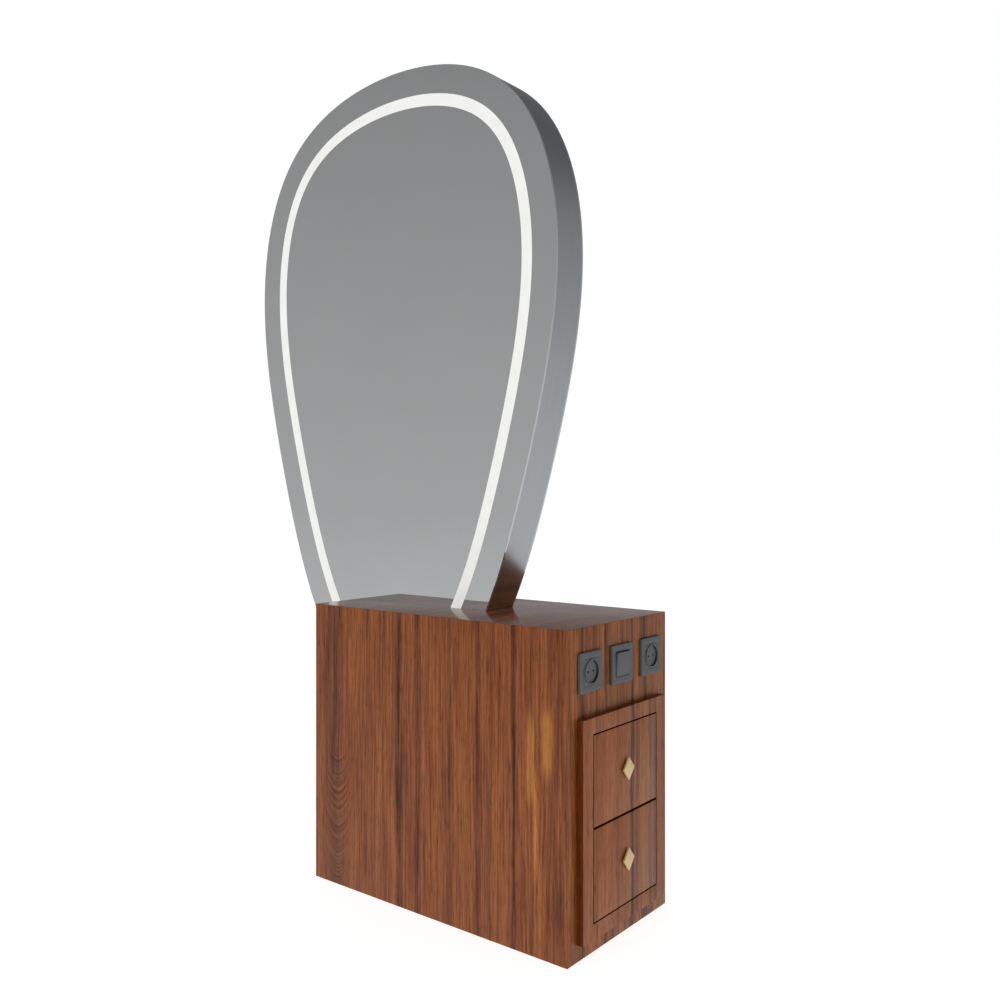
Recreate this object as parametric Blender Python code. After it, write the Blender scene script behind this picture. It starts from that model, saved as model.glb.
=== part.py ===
"""Styling station: a tall egg-shaped mirror, silvered on both sides, that stands in a veneered drawer cabinet.

Metres, +Z up. The origin is the centre of the cabinet's footprint on the floor. +X points out of the
cabinet's end with the drawers, the sockets and the switch. The mirror's two faces look along -Y and +Y.
"""
import math

import bmesh
import bpy
from mathutils import Vector

# Fits
SEAT = 0.0003            # gap left between two pieces that rest on each other
SLOT_CLEARANCE = 0.0005  # air round the mirror where it passes through a board

# Cabinet shell, six boards mitred at every edge
CABINET_LENGTH = 0.727
CABINET_DEPTH = 0.384
BOARD = 0.018
INNER_BOARD = 0.016

# Mirror body
MIRROR_HEIGHT = 1.629
MIRROR_SINK = 0.350      # how far the mirror's foot reaches below the cabinet's top
MIRROR_SETBACK = 0.2284  # mirror's axis behind the drawer divider
MIRROR_THICKNESS = 0.100
GLASS = 0.005
RIM_SHEET = 0.0015

# Egg outline: half width = sin t (width - taper cos t + shoulder cos 2t - waist cos 3t - crown cos 4t
# - brow cos 5t), with t from 0 at the foot to pi at the top
EGG_WIDTH = 0.4695
EGG_TAPER = 0.2602
EGG_SHOULDER = 0.0168
EGG_WAIST = 0.0404
EGG_CROWN = 0.0075
EGG_BROW = 0.0111
OUTLINE_STEPS = 48       # steps on each side of the outline

# Lit band let into each mirror face, and the lamp behind it
BAND_INSET = 0.0655
BAND_WIDTH = 0.028
BAND_DEPTH = 0.0025
LED_WIDTH = 0.010
LED_THICKNESS = 0.0016
LED_GROOVE_DEPTH = 0.010
LED_GROOVE_MARGIN = 0.004

# Timber core between the two glasses
CORE_WIDTH = 0.115       # from the rim inwards
CORE_RAIL = 0.070
CORE_RAIL_HEIGHTS = (0.560, 1.080)  # lower edges of the cross rails above the mirror's foot

# Post that carries the mirror inside the cabinet
CRADLE_REACH = 0.095     # from the mirror's middle towards the drawers
CRADLE_RISE = 0.030      # how far the post's shoulders rise beside the mirror's foot
CRADLE_THICKNESS = 0.094

# Raised surround on the drawer end
SURROUND_MARGIN = 0.032  # cabinet beside it
SURROUND_HEIGHT = 0.438
SURROUND_SILL = 0.035
SURROUND_STILE = 0.035
SURROUND_RAIL = 0.032
SURROUND_BOARD = 0.016

# Drawers
DRAWER_GAP = 0.003       # round each front
DRAWER_SPLIT = 0.005     # between the two fronts
FRONT_BOARD = 0.018
BOX_SIDE = 0.012
BOX_BASE = 0.006
BOX_HEIGHT = 0.130
BOX_LIFT = 0.020         # box above the lower edge of its front
BOX_LENGTH = 0.338
BOX_REAR_ROOM = 0.0297   # between the box and the divider
CEILING_GAP = 0.011      # above the surround's opening

# Ball-bearing slides of three nested channels
SLIDE_SPACE = 0.0127
SLIDE_HEIGHT = 0.045
SLIDE_SHEET = 0.0012
SLIDE_PLAY = 0.0004
SLIDE_LIP = 0.0095       # depth of the fixed channel
SLIDE_SETBACK = 0.002    # behind the end board
SLIDE_REAR_ROOM = 0.005  # between the slides and the divider

# Knobs
KNOB_WIDTH = 0.041
KNOB_HEIGHT = 0.048
KNOB_THICKNESS = 0.005
KNOB_STANDOFF = 0.003
KNOB_EDGE = 0.0035
KNOB_CHAMFER = 0.0015
KNOB_STEM_RADIUS = 0.0055
SCREW_RADIUS = 0.002
SCREW_HEAD_RADIUS = 0.004
SCREW_HEAD_HEIGHT = 0.0025
SCREW_BITE = 0.005       # how far the screw reaches into the stem
SCREW_PLAY = 0.0003

# Sockets and switch
PLATE_SIZE = 0.080
PLATE_PROUD = 0.007
PLATE_PITCH = 0.118
PLATE_RISE = 0.049       # from the surround up to the plates
TOP_MARGIN = 0.048       # from the plates up to the cabinet's top
PLATE_CORNER = 0.002     # bevel of the outer edges
PLATE_RADIUS = 0.0025    # the frame's corners
WINDOW = 0.0526
INSERT_SIZE = 0.052
INSERT_RADIUS = 0.0012   # corners of the window and of what fills it
INSERT_PROUD = 0.0027    # a socket's collar and the rocker, outside the frame's face
INSERT_FLUSH = 0.0003    # a socket's square part, outside the frame's face
INSERT_TAIL_RADIUS = 0.024
INSERT_TAIL_LENGTH = 0.024
COLLAR_RADIUS = 0.025
COLLAR_STEPS = 48
DISH_RADIUS = 0.0228
DISH_DEPTH = 0.0046
DISH_TAPER = 0.001
PIN_HOLE_RADIUS = 0.0025
PIN_HOLE_DEPTH = 0.012
PIN_PITCH = 0.019
CONTACT_WIDTH = 0.006
CONTACT_THICKNESS = 0.0012
CONTACT_NOTCH = 0.003    # notch inside the dish's edge
CONTACT_REACH = 0.024    # outer end of a notch from the dish's middle
CONTACT_BURIAL = 0.0032  # back of the strap behind the dish's floor
BACK_BOX_RADIUS = 0.0335
BACK_BOX_DEPTH = 0.044
BACK_BOX_WALL = 0.0015
BACK_BOX_PLAY = 0.0003
ROCKER_SIZE = 0.051
ROCKER_PLATE = 0.0042
ROCKER_PIVOT_RADIUS = 0.0025
ROCKER_PIVOT_LENGTH = 0.030
ROCKER_PIVOT_PROUD = 0.0025  # pivot axis outside the end board's face
ROCKER_WEB = 0.003
ROCKER_TILT = 4.0        # degrees, the switch in its off position
MECHANISM_PROUD = 0.002

# Lamp driver and cable inlet
DRIVER_LENGTH = 0.150
DRIVER_WIDTH = 0.042
DRIVER_HEIGHT = 0.030
DRIVER_INSET = 0.092     # from the cabinet's back
DRIVER_SETBACK = 0.080   # behind the end board
DRIVER_EAR = 0.012
DRIVER_EAR_HEIGHT = 0.003
GROMMET_BORE_RADIUS = 0.016
GROMMET_SLEEVE_RADIUS = 0.020
GROMMET_FLANGE_RADIUS = 0.024
GROMMET_FLANGE = 0.002
GROMMET_INSET = 0.072    # from the cabinet's back
GROMMET_HEIGHT = 0.060
GROMMET_PLAY = 0.0003

ROUND_STEPS = 24
SMALL_ROUND_STEPS = 12
CORNER_STEPS = 3

# Places worked out from the sizes above
END_X = CABINET_LENGTH / 2
HALF_DEPTH = CABINET_DEPTH / 2
END_INNER_X = END_X - BOARD
PLATE_HEIGHT = SURROUND_SILL + SURROUND_HEIGHT + PLATE_RISE + PLATE_SIZE / 2
CABINET_HEIGHT = PLATE_HEIGHT + PLATE_SIZE / 2 + TOP_MARGIN
SURROUND_WIDTH = CABINET_DEPTH - 2 * SURROUND_MARGIN
SURROUND_FACE_X = END_X + SURROUND_BOARD
MIRROR_FOOT = CABINET_HEIGHT - MIRROR_SINK
GLASS_FACE = MIRROR_THICKNESS / 2
GLASS_BACK = GLASS_FACE - GLASS
OPENING_HALF = SURROUND_WIDTH / 2 - SURROUND_STILE
OPENING_LOW = SURROUND_SILL + SURROUND_RAIL
OPENING_HIGH = SURROUND_SILL + SURROUND_HEIGHT - SURROUND_RAIL
FRONT_HEIGHT = (OPENING_HIGH - OPENING_LOW - 2 * DRAWER_GAP - DRAWER_SPLIT) / 2
CEILING_Z = OPENING_HIGH + CEILING_GAP
FRONT_BACK_X = SURROUND_FACE_X - FRONT_BOARD
DIVIDER_X = FRONT_BACK_X - SEAT - BOX_LENGTH - BOX_REAR_ROOM
SLIDE_FRONT_X = END_INNER_X - SLIDE_SETBACK
SLIDE_BACK_X = DIVIDER_X + SLIDE_REAR_ROOM
MIRROR_X = DIVIDER_X - INNER_BOARD - MIRROR_SETBACK
BOX_HALF = OPENING_HALF - SLIDE_SPACE
DRIVER_Y = HALF_DEPTH - DRIVER_INSET
GROMMET_Y = HALF_DEPTH - GROMMET_INSET


class Materials:
    """The finishes, each made once."""

    RECIPES = {
        "walnut_veneer": ((0.235, 0.082, 0.040), 0.38, 0.0),
        "birch_ply": ((0.62, 0.45, 0.28), 0.55, 0.0),
        "timber_core": ((0.50, 0.36, 0.22), 0.65, 0.0),
        "mirror_glass": ((0.82, 0.83, 0.83), 0.02, 1.0),
        "polished_steel": ((0.62, 0.63, 0.65), 0.12, 1.0),
        "opal_acrylic": ((0.90, 0.90, 0.89), 0.35, 0.0),
        "led_tape": ((0.85, 0.82, 0.60), 0.50, 0.0),
        "zinc_steel": ((0.55, 0.56, 0.58), 0.35, 1.0),
        "pale_brass": ((0.68, 0.50, 0.26), 0.30, 1.0),
        "anthracite_plastic": ((0.100, 0.104, 0.110), 0.42, 0.0),
        "grey_plastic": ((0.068, 0.072, 0.076), 0.55, 0.0),
        "contact_steel": ((0.60, 0.60, 0.60), 0.28, 1.0),
        "white_plastic": ((0.80, 0.80, 0.78), 0.45, 0.0),
    }

    def __init__(self):
        self.made = {}

    def get(self, name):
        if name not in self.made:
            colour, roughness, metallic = self.RECIPES[name]
            material = bpy.data.materials.new(name)
            material.use_nodes = True
            shader = material.node_tree.nodes["Principled BSDF"]
            shader.inputs["Base Color"].default_value = (*colour, 1.0)
            shader.inputs["Roughness"].default_value = roughness
            shader.inputs["Metallic"].default_value = metallic
            self.made[name] = material
        return self.made[name]


MATERIALS = Materials()


def clear_scene():
    """Empty the open scene."""
    for old in list(bpy.data.objects):
        bpy.data.objects.remove(old, do_unlink=True)


def add_object(name, bm, material, origin=(0.0, 0.0, 0.0)):
    """Turn a bmesh in world coordinates into an object whose origin is at the given point."""
    bmesh.ops.recalc_face_normals(bm, faces=bm.faces)
    for vertex in bm.verts:
        vertex.co -= Vector(origin)
    mesh = bpy.data.meshes.new(name)
    bm.to_mesh(mesh)
    bm.free()
    obj = bpy.data.objects.new(name, mesh)
    obj.location = origin
    bpy.context.scene.collection.objects.link(obj)
    if material:
        mesh.materials.append(MATERIALS.get(material))
    return obj


def box_mesh(low, high):
    """A closed box between two corners."""
    bm = bmesh.new()
    bmesh.ops.create_cube(bm, size=1.0)
    for vertex in bm.verts:
        vertex.co = Vector(
            (low[i] + (vertex.co[i] + 0.5) * (high[i] - low[i]) for i in range(3))
        )
    return bm


def board(name, low, high, material, origin=(0.0, 0.0, 0.0), arris=0.0):
    """A flat board, with its edges broken by a small bevel if an arris is given."""
    bm = box_mesh(low, high)
    if arris:
        bmesh.ops.bevel(bm, geom=list(bm.edges), offset=arris, segments=1, affect="EDGES")
    return add_object(name, bm, material, origin)


def loft_mesh(rings, closed=False):
    """Skin a list of equal rings of points. Open lofts are capped at both ends."""
    bm = bmesh.new()
    loops = [[bm.verts.new(point) for point in ring] for ring in rings]
    count = len(loops[0])
    spans = len(loops) if closed else len(loops) - 1
    for i in range(spans):
        near, far = loops[i], loops[(i + 1) % len(loops)]
        for k in range(count):
            bm.faces.new((near[k], near[(k + 1) % count], far[(k + 1) % count], far[k]))
    if not closed:
        bm.faces.new(loops[0])
        bm.faces.new(loops[-1])
    return bm


def circle(x, centre_y, centre_z, radius, steps=ROUND_STEPS):
    """Points of a circle that faces along X."""
    return [
        (
            x,
            centre_y + radius * math.cos(2 * math.pi * k / steps),
            centre_z + radius * math.sin(2 * math.pi * k / steps),
        )
        for k in range(steps)
    ]


def rhombus(x, centre_z, half_width, half_height):
    """The four corners of a diamond that faces along X."""
    return [
        (x, 0.0, centre_z + half_height),
        (x, half_width, centre_z),
        (x, 0.0, centre_z - half_height),
        (x, -half_width, centre_z),
    ]


def square(x, centre_y, size, radius):
    """Points of a square with round corners that faces along X, at the height of the plates."""
    ring = []
    inner = size / 2 - radius
    for corner, (a, b) in enumerate(((1, 1), (-1, 1), (-1, -1), (1, -1))):
        for k in range(CORNER_STEPS + 1):
            angle = math.pi / 2 * (corner + k / CORNER_STEPS)
            y = a * inner + radius * math.cos(angle)
            z = b * inner + radius * math.sin(angle)
            ring.append((x, centre_y + y, PLATE_HEIGHT + z))
    return ring


def carve(target, tool_mesh, name, operation="DIFFERENCE"):
    """Cut a closed tool out of an object, or weld it on, and keep the tool as a hidden guide."""
    tool = add_object(name, tool_mesh, None)
    tool.hide_render = True
    tool.display_type = "WIRE"
    modifier = target.modifiers.new(name, "BOOLEAN")
    modifier.object = tool
    modifier.operation = operation
    modifier.solver = "EXACT"
    return tool


def hang_on(piece, carrier):
    """Parent a piece to a carrier and leave it where it is."""
    piece.parent = carrier
    piece.matrix_parent_inverse = carrier.matrix_basis.inverted()


def carrier(name, place):
    """An empty that stands on a joint's axis."""
    empty = bpy.data.objects.new(name, None)
    empty.location = place
    empty.empty_display_size = 0.05
    bpy.context.scene.collection.objects.link(empty)
    return empty


def egg_point(t):
    """Half width and height of the mirror's outline at parameter t, from 0 at the foot to pi at the top."""
    width = math.sin(t) * (
        EGG_WIDTH
        - EGG_TAPER * math.cos(t)
        + EGG_SHOULDER * math.cos(2 * t)
        - EGG_WAIST * math.cos(3 * t)
        - EGG_CROWN * math.cos(4 * t)
        - EGG_BROW * math.cos(5 * t)
    )
    height = MIRROR_FOOT + MIRROR_HEIGHT * (1 - math.cos(t)) / 2
    return Vector((width, height))


def inset_point(t, inset):
    """A point of the outline moved inwards along its normal."""
    nudge = 1e-4
    along = egg_point(t + nudge) - egg_point(t - nudge)
    return egg_point(t) + Vector((-along.y, along.x)).normalized() * inset


def first_parameter(inset):
    """Where the right half of a moved outline starts, on the mirror's middle line."""
    low, high = 0.01, math.pi / 2
    if inset_point(low, inset).x > 0:
        return 0.0
    while high - low > 1e-7:
        middle = (low + high) / 2
        if inset_point(middle, inset).x > 0:
            high = middle
        else:
            low = middle
    return high


def egg_ring(y, inset=0.0):
    """The mirror's outline at depth y, moved inwards along its normals by the inset."""
    start = first_parameter(inset)
    span = math.pi - start
    half = [inset_point(start + span * k / OUTLINE_STEPS, inset) for k in range(OUTLINE_STEPS + 1)]
    right = [(MIRROR_X + point.x, y, point.y) for point in half]
    left = [(MIRROR_X - point.x, y, point.y) for point in half[-2:0:-1]]
    return right + left


def egg_block(inset, low_y, high_y):
    """A solid slab with the mirror's outline."""
    return loft_mesh([egg_ring(low_y, inset), egg_ring(high_y, inset)])


def egg_hoop(outer, inner, low_y, high_y):
    """A hoop that follows the mirror's outline between two insets."""
    rings = [
        egg_ring(low_y, outer),
        egg_ring(high_y, outer),
        egg_ring(high_y, inner),
        egg_ring(low_y, inner),
    ]
    return loft_mesh(rings, closed=True)


def mitred_board(name, axis, side):
    """One wall of the cabinet: full size outside, cut back at 45 degrees to its inner face."""
    halves = Vector((END_X, HALF_DEPTH, CABINET_HEIGHT / 2))
    trim = SEAT / math.sqrt(2)
    others = [i for i in range(3) if i != axis]
    rings = []
    for depth in (0.0, BOARD):
        ring = []
        for a, b in ((-1, -1), (1, -1), (1, 1), (-1, 1)):
            point = [0.0, 0.0, 0.0]
            point[axis] = side * (halves[axis] - depth)
            point[others[0]] = a * (halves[others[0]] - depth - trim)
            point[others[1]] = b * (halves[others[1]] - depth - trim)
            point[2] += CABINET_HEIGHT / 2
            ring.append(tuple(point))
        rings.append(ring)
    return add_object(name, loft_mesh(rings), "walnut_veneer")


def mirror_clearance():
    """The space that the boards leave for the mirror body."""
    return egg_block(
        -SLOT_CLEARANCE, -GLASS_FACE - SLOT_CLEARANCE, GLASS_FACE + SLOT_CLEARANCE
    )


def build_shell():
    """The six mitred boards, with the mirror's slot, the drawer opening and the holes."""
    mitred_board("bottom_board", 2, -1)
    mitred_board("front_board", 1, -1)
    mitred_board("back_board", 1, 1)
    top = mitred_board("top_board", 2, 1)
    carve(top, mirror_clearance(), "top_slot_tool")
    plain_end = mitred_board("plain_end_board", 0, -1)
    carve(plain_end, mirror_clearance(), "plain_end_slot_tool")
    hole = GROMMET_SLEEVE_RADIUS + GROMMET_PLAY
    carve(
        plain_end,
        loft_mesh(
            [
                circle(-END_X - BOARD, GROMMET_Y, GROMMET_HEIGHT, hole),
                circle(-END_X + 2 * BOARD, GROMMET_Y, GROMMET_HEIGHT, hole),
            ]
        ),
        "grommet_hole_tool",
    )
    drawer_end = mitred_board("drawer_end_board", 0, 1)
    carve(
        drawer_end,
        box_mesh(
            (END_INNER_X - BOARD, -OPENING_HALF, OPENING_LOW),
            (END_X + BOARD, OPENING_HALF, OPENING_HIGH),
        ),
        "drawer_opening_tool",
    )
    for index, name in enumerate(("left", "middle", "right")):
        y = (index - 1) * PLATE_PITCH
        hole = BACK_BOX_RADIUS + BACK_BOX_PLAY
        carve(
            drawer_end,
            loft_mesh(
                [
                    circle(END_INNER_X - BOARD, y, PLATE_HEIGHT, hole),
                    circle(END_X + BOARD, y, PLATE_HEIGHT, hole),
                ]
            ),
            name + "_plate_hole_tool",
        )


def build_inner_boards():
    """The drawer housing inside the shell, and the post that carries the mirror."""
    inner_half = HALF_DEPTH - BOARD - SEAT
    floor = BOARD + SEAT
    front_x = END_INNER_X - SEAT
    board(
        "drawer_ceiling",
        (DIVIDER_X - INNER_BOARD, -inner_half, CEILING_Z),
        (front_x, inner_half, CEILING_Z + INNER_BOARD),
        "birch_ply",
    )
    board(
        "drawer_divider",
        (DIVIDER_X - INNER_BOARD, -inner_half, floor),
        (DIVIDER_X, inner_half, CEILING_Z - SEAT),
        "birch_ply",
    )
    for name, side in (("front", -1), ("back", 1)):
        near = side * OPENING_HALF
        far = side * (OPENING_HALF + INNER_BOARD)
        board(
            name + "_drawer_cheek",
            (DIVIDER_X + SEAT, min(near, far), floor),
            (front_x, max(near, far), CEILING_Z - SEAT),
            "birch_ply",
        )
    post = board(
        "mirror_post",
        (-END_INNER_X + SEAT, -CRADLE_THICKNESS / 2, floor),
        (MIRROR_X + CRADLE_REACH, CRADLE_THICKNESS / 2, MIRROR_FOOT + CRADLE_RISE),
        "timber_core",
    )
    carve(post, mirror_clearance(), "mirror_seat_tool")


def build_mirror():
    """Core, rim, and for each face a glass, a lit band and the lamp tape behind it."""
    rim_half = GLASS_BACK - SEAT
    add_object(
        "mirror_rim", egg_hoop(0.0, RIM_SHEET, -rim_half, rim_half), "polished_steel"
    )
    core_edge = RIM_SHEET + SEAT
    core = add_object(
        "mirror_core", egg_block(core_edge, -rim_half, rim_half), "timber_core"
    )
    window_low = MIRROR_FOOT + CORE_WIDTH
    for index, high in enumerate((*CORE_RAIL_HEIGHTS, MIRROR_HEIGHT)):
        window = egg_block(core_edge + CORE_WIDTH, -MIRROR_THICKNESS, MIRROR_THICKNESS)
        cell_high = MIRROR_FOOT + high
        keep_between(window, window_low, cell_high)
        carve(core, window, "core_window_%d_tool" % (index + 1))
        window_low = cell_high + CORE_RAIL
    groove_out = BAND_INSET + LED_GROOVE_MARGIN
    groove_in = BAND_INSET + BAND_WIDTH - LED_GROOVE_MARGIN
    band_middle = BAND_INSET + BAND_WIDTH / 2
    for name, side in (("front", -1), ("back", 1)):
        floor_y = rim_half - LED_GROOVE_DEPTH
        groove = egg_hoop(groove_out, groove_in, *ordered(side, floor_y, GLASS_FACE))
        carve(core, groove, name + "_lamp_groove_tool")
        led = egg_hoop(
            band_middle - LED_WIDTH / 2,
            band_middle + LED_WIDTH / 2,
            *ordered(side, floor_y + SEAT, floor_y + SEAT + LED_THICKNESS)
        )
        add_object(name + "_led_tape", led, "led_tape")
        groove_floor = GLASS_FACE - BAND_DEPTH
        rings = [
            egg_ring(side * GLASS_BACK),
            egg_ring(side * GLASS_FACE),
            egg_ring(side * GLASS_FACE, BAND_INSET),
            egg_ring(side * groove_floor, BAND_INSET),
            egg_ring(side * groove_floor, BAND_INSET + BAND_WIDTH),
            egg_ring(side * GLASS_FACE, BAND_INSET + BAND_WIDTH),
        ]
        add_object(name + "_mirror_glass", loft_mesh(rings), "mirror_glass")
        band = egg_hoop(
            BAND_INSET + SEAT,
            BAND_INSET + BAND_WIDTH - SEAT,
            *ordered(side, groove_floor + SEAT, GLASS_FACE)
        )
        add_object(name + "_light_band", band, "opal_acrylic")


def ordered(side, near, far):
    """Two depths on one side of the middle plane, the lower first."""
    return sorted((side * near, side * far))


def keep_between(bm, low, high):
    """Trim a closed mesh to what lies between two heights, and close the cuts."""
    for height, outward in ((low, -1), (high, 1)):
        geometry = bm.verts[:] + bm.edges[:] + bm.faces[:]
        cut = bmesh.ops.bisect_plane(
            bm,
            geom=geometry,
            plane_co=(0.0, 0.0, height),
            plane_no=(0.0, 0.0, outward),
            clear_outer=True,
        )
        edges = [item for item in cut["geom_cut"] if isinstance(item, bmesh.types.BMEdge)]
        if edges:
            bmesh.ops.contextual_create(bm, geom=edges)


def build_surround():
    """The raised frame on the drawer end."""
    surround = board(
        "drawer_surround",
        (END_X + SEAT, -SURROUND_WIDTH / 2, SURROUND_SILL),
        (SURROUND_FACE_X, SURROUND_WIDTH / 2, SURROUND_SILL + SURROUND_HEIGHT),
        "walnut_veneer",
    )
    carve(
        surround,
        box_mesh(
            (END_X - BOARD, -OPENING_HALF, OPENING_LOW),
            (SURROUND_FACE_X + BOARD, OPENING_HALF, OPENING_HIGH),
        ),
        "surround_opening_tool",
    )


def channel_mesh(side, web, lips, height, centre_z):
    """A channel along X: its web and the ends of its lips are distances from the drawer cheek's face."""
    outer = height / 2
    inner = outer - SLIDE_SHEET
    web_out, web_in = web
    profile = [
        (web_out, outer),
        (lips, outer),
        (lips, inner),
        (web_in, inner),
        (web_in, -inner),
        (lips, -inner),
        (lips, -outer),
        (web_out, -outer),
    ]
    rings = [
        [(x, side * (OPENING_HALF - depth), centre_z + z) for depth, z in profile]
        for x in (SLIDE_BACK_X, SLIDE_FRONT_X)
    ]
    return loft_mesh(rings)


def build_slide(drawer, name, side, centre_z, box_carrier, middle_carrier):
    """A pair of nested moving channels in a fixed one."""
    step = SLIDE_SHEET + SLIDE_PLAY
    fixed_web = (SEAT, SEAT + SLIDE_SHEET)
    middle_web = (fixed_web[1] + SLIDE_PLAY, fixed_web[1] + SLIDE_PLAY + SLIDE_SHEET)
    moving_web = (SLIDE_SPACE - SEAT, SLIDE_SPACE - SEAT - SLIDE_SHEET)
    middle_lips = moving_web[1] - SLIDE_PLAY
    origin = (SLIDE_FRONT_X, 0.0, centre_z)
    prefix = drawer + "_" + name + "_slide_"
    add_object(
        prefix + "fixed",
        channel_mesh(side, fixed_web, SEAT + SLIDE_LIP, SLIDE_HEIGHT, centre_z),
        "zinc_steel",
    )
    middle = add_object(
        prefix + "middle",
        channel_mesh(side, middle_web, middle_lips, SLIDE_HEIGHT - 2 * step, centre_z),
        "zinc_steel",
        origin,
    )
    hang_on(middle, middle_carrier)
    moving = add_object(
        prefix + "moving",
        channel_mesh(
            side,
            moving_web,
            middle_web[1] + SLIDE_PLAY,
            SLIDE_HEIGHT - 4 * step,
            centre_z,
        ),
        "zinc_steel",
        origin,
    )
    hang_on(moving, box_carrier)


def build_knob(drawer, centre_z, parent):
    """A diamond plate on a round stem, and the screw that holds it."""
    face_x = SURROUND_FACE_X
    back_x = face_x + KNOB_STANDOFF
    front_x = back_x + KNOB_THICKNESS
    half_width, half_height = KNOB_WIDTH / 2, KNOB_HEIGHT / 2
    slant = math.hypot(half_width, half_height)
    shrink = 1 - KNOB_EDGE * slant / (half_width * half_height)
    rings = [
        rhombus(back_x, centre_z, half_width, half_height),
        rhombus(front_x - KNOB_CHAMFER, centre_z, half_width, half_height),
        rhombus(front_x, centre_z, half_width * shrink, half_height * shrink),
    ]
    origin = (face_x, 0.0, centre_z)
    knob = add_object(drawer + "_knob", loft_mesh(rings), "pale_brass", origin)
    stem = [
        circle(face_x + SEAT, 0.0, centre_z, KNOB_STEM_RADIUS),
        circle(back_x + KNOB_THICKNESS / 2, 0.0, centre_z, KNOB_STEM_RADIUS),
    ]
    carve(knob, loft_mesh(stem), drawer + "_knob_stem_tool", "UNION")
    hole_radius = SCREW_RADIUS + SCREW_PLAY
    hole_end = face_x + SCREW_BITE + SEAT
    hole = [
        circle(face_x - FRONT_BOARD, 0.0, centre_z, hole_radius, SMALL_ROUND_STEPS),
        circle(hole_end, 0.0, centre_z, hole_radius, SMALL_ROUND_STEPS),
    ]
    carve(knob, loft_mesh(hole), drawer + "_knob_hole_tool")
    head_x = FRONT_BACK_X - SEAT
    profile = (
        (head_x - SCREW_HEAD_HEIGHT, SCREW_HEAD_RADIUS * 0.75),
        (head_x - SCREW_HEAD_HEIGHT / 2, SCREW_HEAD_RADIUS),
        (head_x, SCREW_HEAD_RADIUS),
        (head_x, SCREW_RADIUS),
        (face_x + SCREW_BITE, SCREW_RADIUS),
    )
    screw = add_object(
        drawer + "_knob_screw",
        loft_mesh(
            [circle(x, 0.0, centre_z, r, SMALL_ROUND_STEPS) for x, r in profile]
        ),
        "zinc_steel",
        origin,
    )
    for piece in (knob, screw):
        hang_on(piece, parent)


def build_drawer(drawer, low_z):
    """Front, box, slides and knob of one drawer, whose front starts at the given height."""
    box_carrier = carrier(drawer + "_drawer_axis", (FRONT_BACK_X, 0.0, low_z))
    middle_carrier = carrier(drawer + "_middle_axis", (SLIDE_FRONT_X, 0.0, low_z))
    half = OPENING_HALF - DRAWER_GAP
    centre_z = low_z + FRONT_HEIGHT / 2
    origin = (FRONT_BACK_X, 0.0, low_z)
    front = board(
        drawer + "_drawer_front",
        (FRONT_BACK_X, -half, low_z),
        (SURROUND_FACE_X, half, low_z + FRONT_HEIGHT),
        "walnut_veneer",
        origin,
    )
    hole_radius = SCREW_RADIUS + SCREW_PLAY
    hole = [
        circle(x, 0.0, centre_z, hole_radius, SMALL_ROUND_STEPS)
        for x in (FRONT_BACK_X - BOARD, SURROUND_FACE_X + BOARD)
    ]
    carve(front, loft_mesh(hole), drawer + "_front_hole_tool")
    pieces = [front]
    box_front_x = FRONT_BACK_X - SEAT
    box_back_x = box_front_x - BOX_LENGTH
    box_low = low_z + BOX_LIFT
    box_high = box_low + BOX_HEIGHT
    for name, side in (("front", -1), ("back", 1)):
        near, far = side * (BOX_HALF - BOX_SIDE), side * BOX_HALF
        pieces.append(
            board(
                drawer + "_drawer_" + name + "_side",
                (box_back_x, min(near, far), box_low),
                (box_front_x, max(near, far), box_high),
                "birch_ply",
                origin,
            )
        )
    inner_half = BOX_HALF - BOX_SIDE - SEAT
    pieces.append(
        board(
            drawer + "_drawer_rear",
            (box_back_x, -inner_half, box_low),
            (box_back_x + BOX_SIDE, inner_half, box_high),
            "birch_ply",
            origin,
        )
    )
    pieces.append(
        board(
            drawer + "_drawer_base",
            (box_back_x, -BOX_HALF, box_low - SEAT - BOX_BASE),
            (box_front_x, BOX_HALF, box_low - SEAT),
            "birch_ply",
            origin,
        )
    )
    for piece in pieces:
        hang_on(piece, box_carrier)
    slide_z = box_low + BOX_HEIGHT / 2
    for name, side in (("front", -1), ("back", 1)):
        build_slide(drawer, name, side, slide_z, box_carrier, middle_carrier)
    build_knob(drawer, centre_z, box_carrier)


def plate_frame(name, y):
    """A square cover frame with a square window, its outer edges slightly broken."""
    outer_x = END_X + PLATE_PROUD
    rings = [
        square(END_X + SEAT, y, PLATE_SIZE, PLATE_RADIUS),
        square(outer_x - PLATE_CORNER, y, PLATE_SIZE, PLATE_RADIUS),
        square(outer_x, y, PLATE_SIZE - 2 * PLATE_CORNER, PLATE_RADIUS),
        square(outer_x, y, WINDOW, INSERT_RADIUS),
        square(END_X + SEAT, y, WINDOW, INSERT_RADIUS),
    ]
    add_object(name, loft_mesh(rings, closed=True), "anthracite_plastic")


def back_box(name, y):
    """The round mounting box behind a plate, open to the front."""
    inner = BACK_BOX_RADIUS - BACK_BOX_WALL
    front_x = END_X
    rear_x = front_x - BACK_BOX_DEPTH
    rings = [
        circle(rear_x, y, PLATE_HEIGHT, BACK_BOX_RADIUS),
        circle(front_x, y, PLATE_HEIGHT, BACK_BOX_RADIUS),
        circle(front_x, y, PLATE_HEIGHT, inner),
        circle(rear_x + BACK_BOX_WALL, y, PLATE_HEIGHT, inner),
    ]
    add_object(name, loft_mesh(rings), "grey_plastic")


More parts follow.
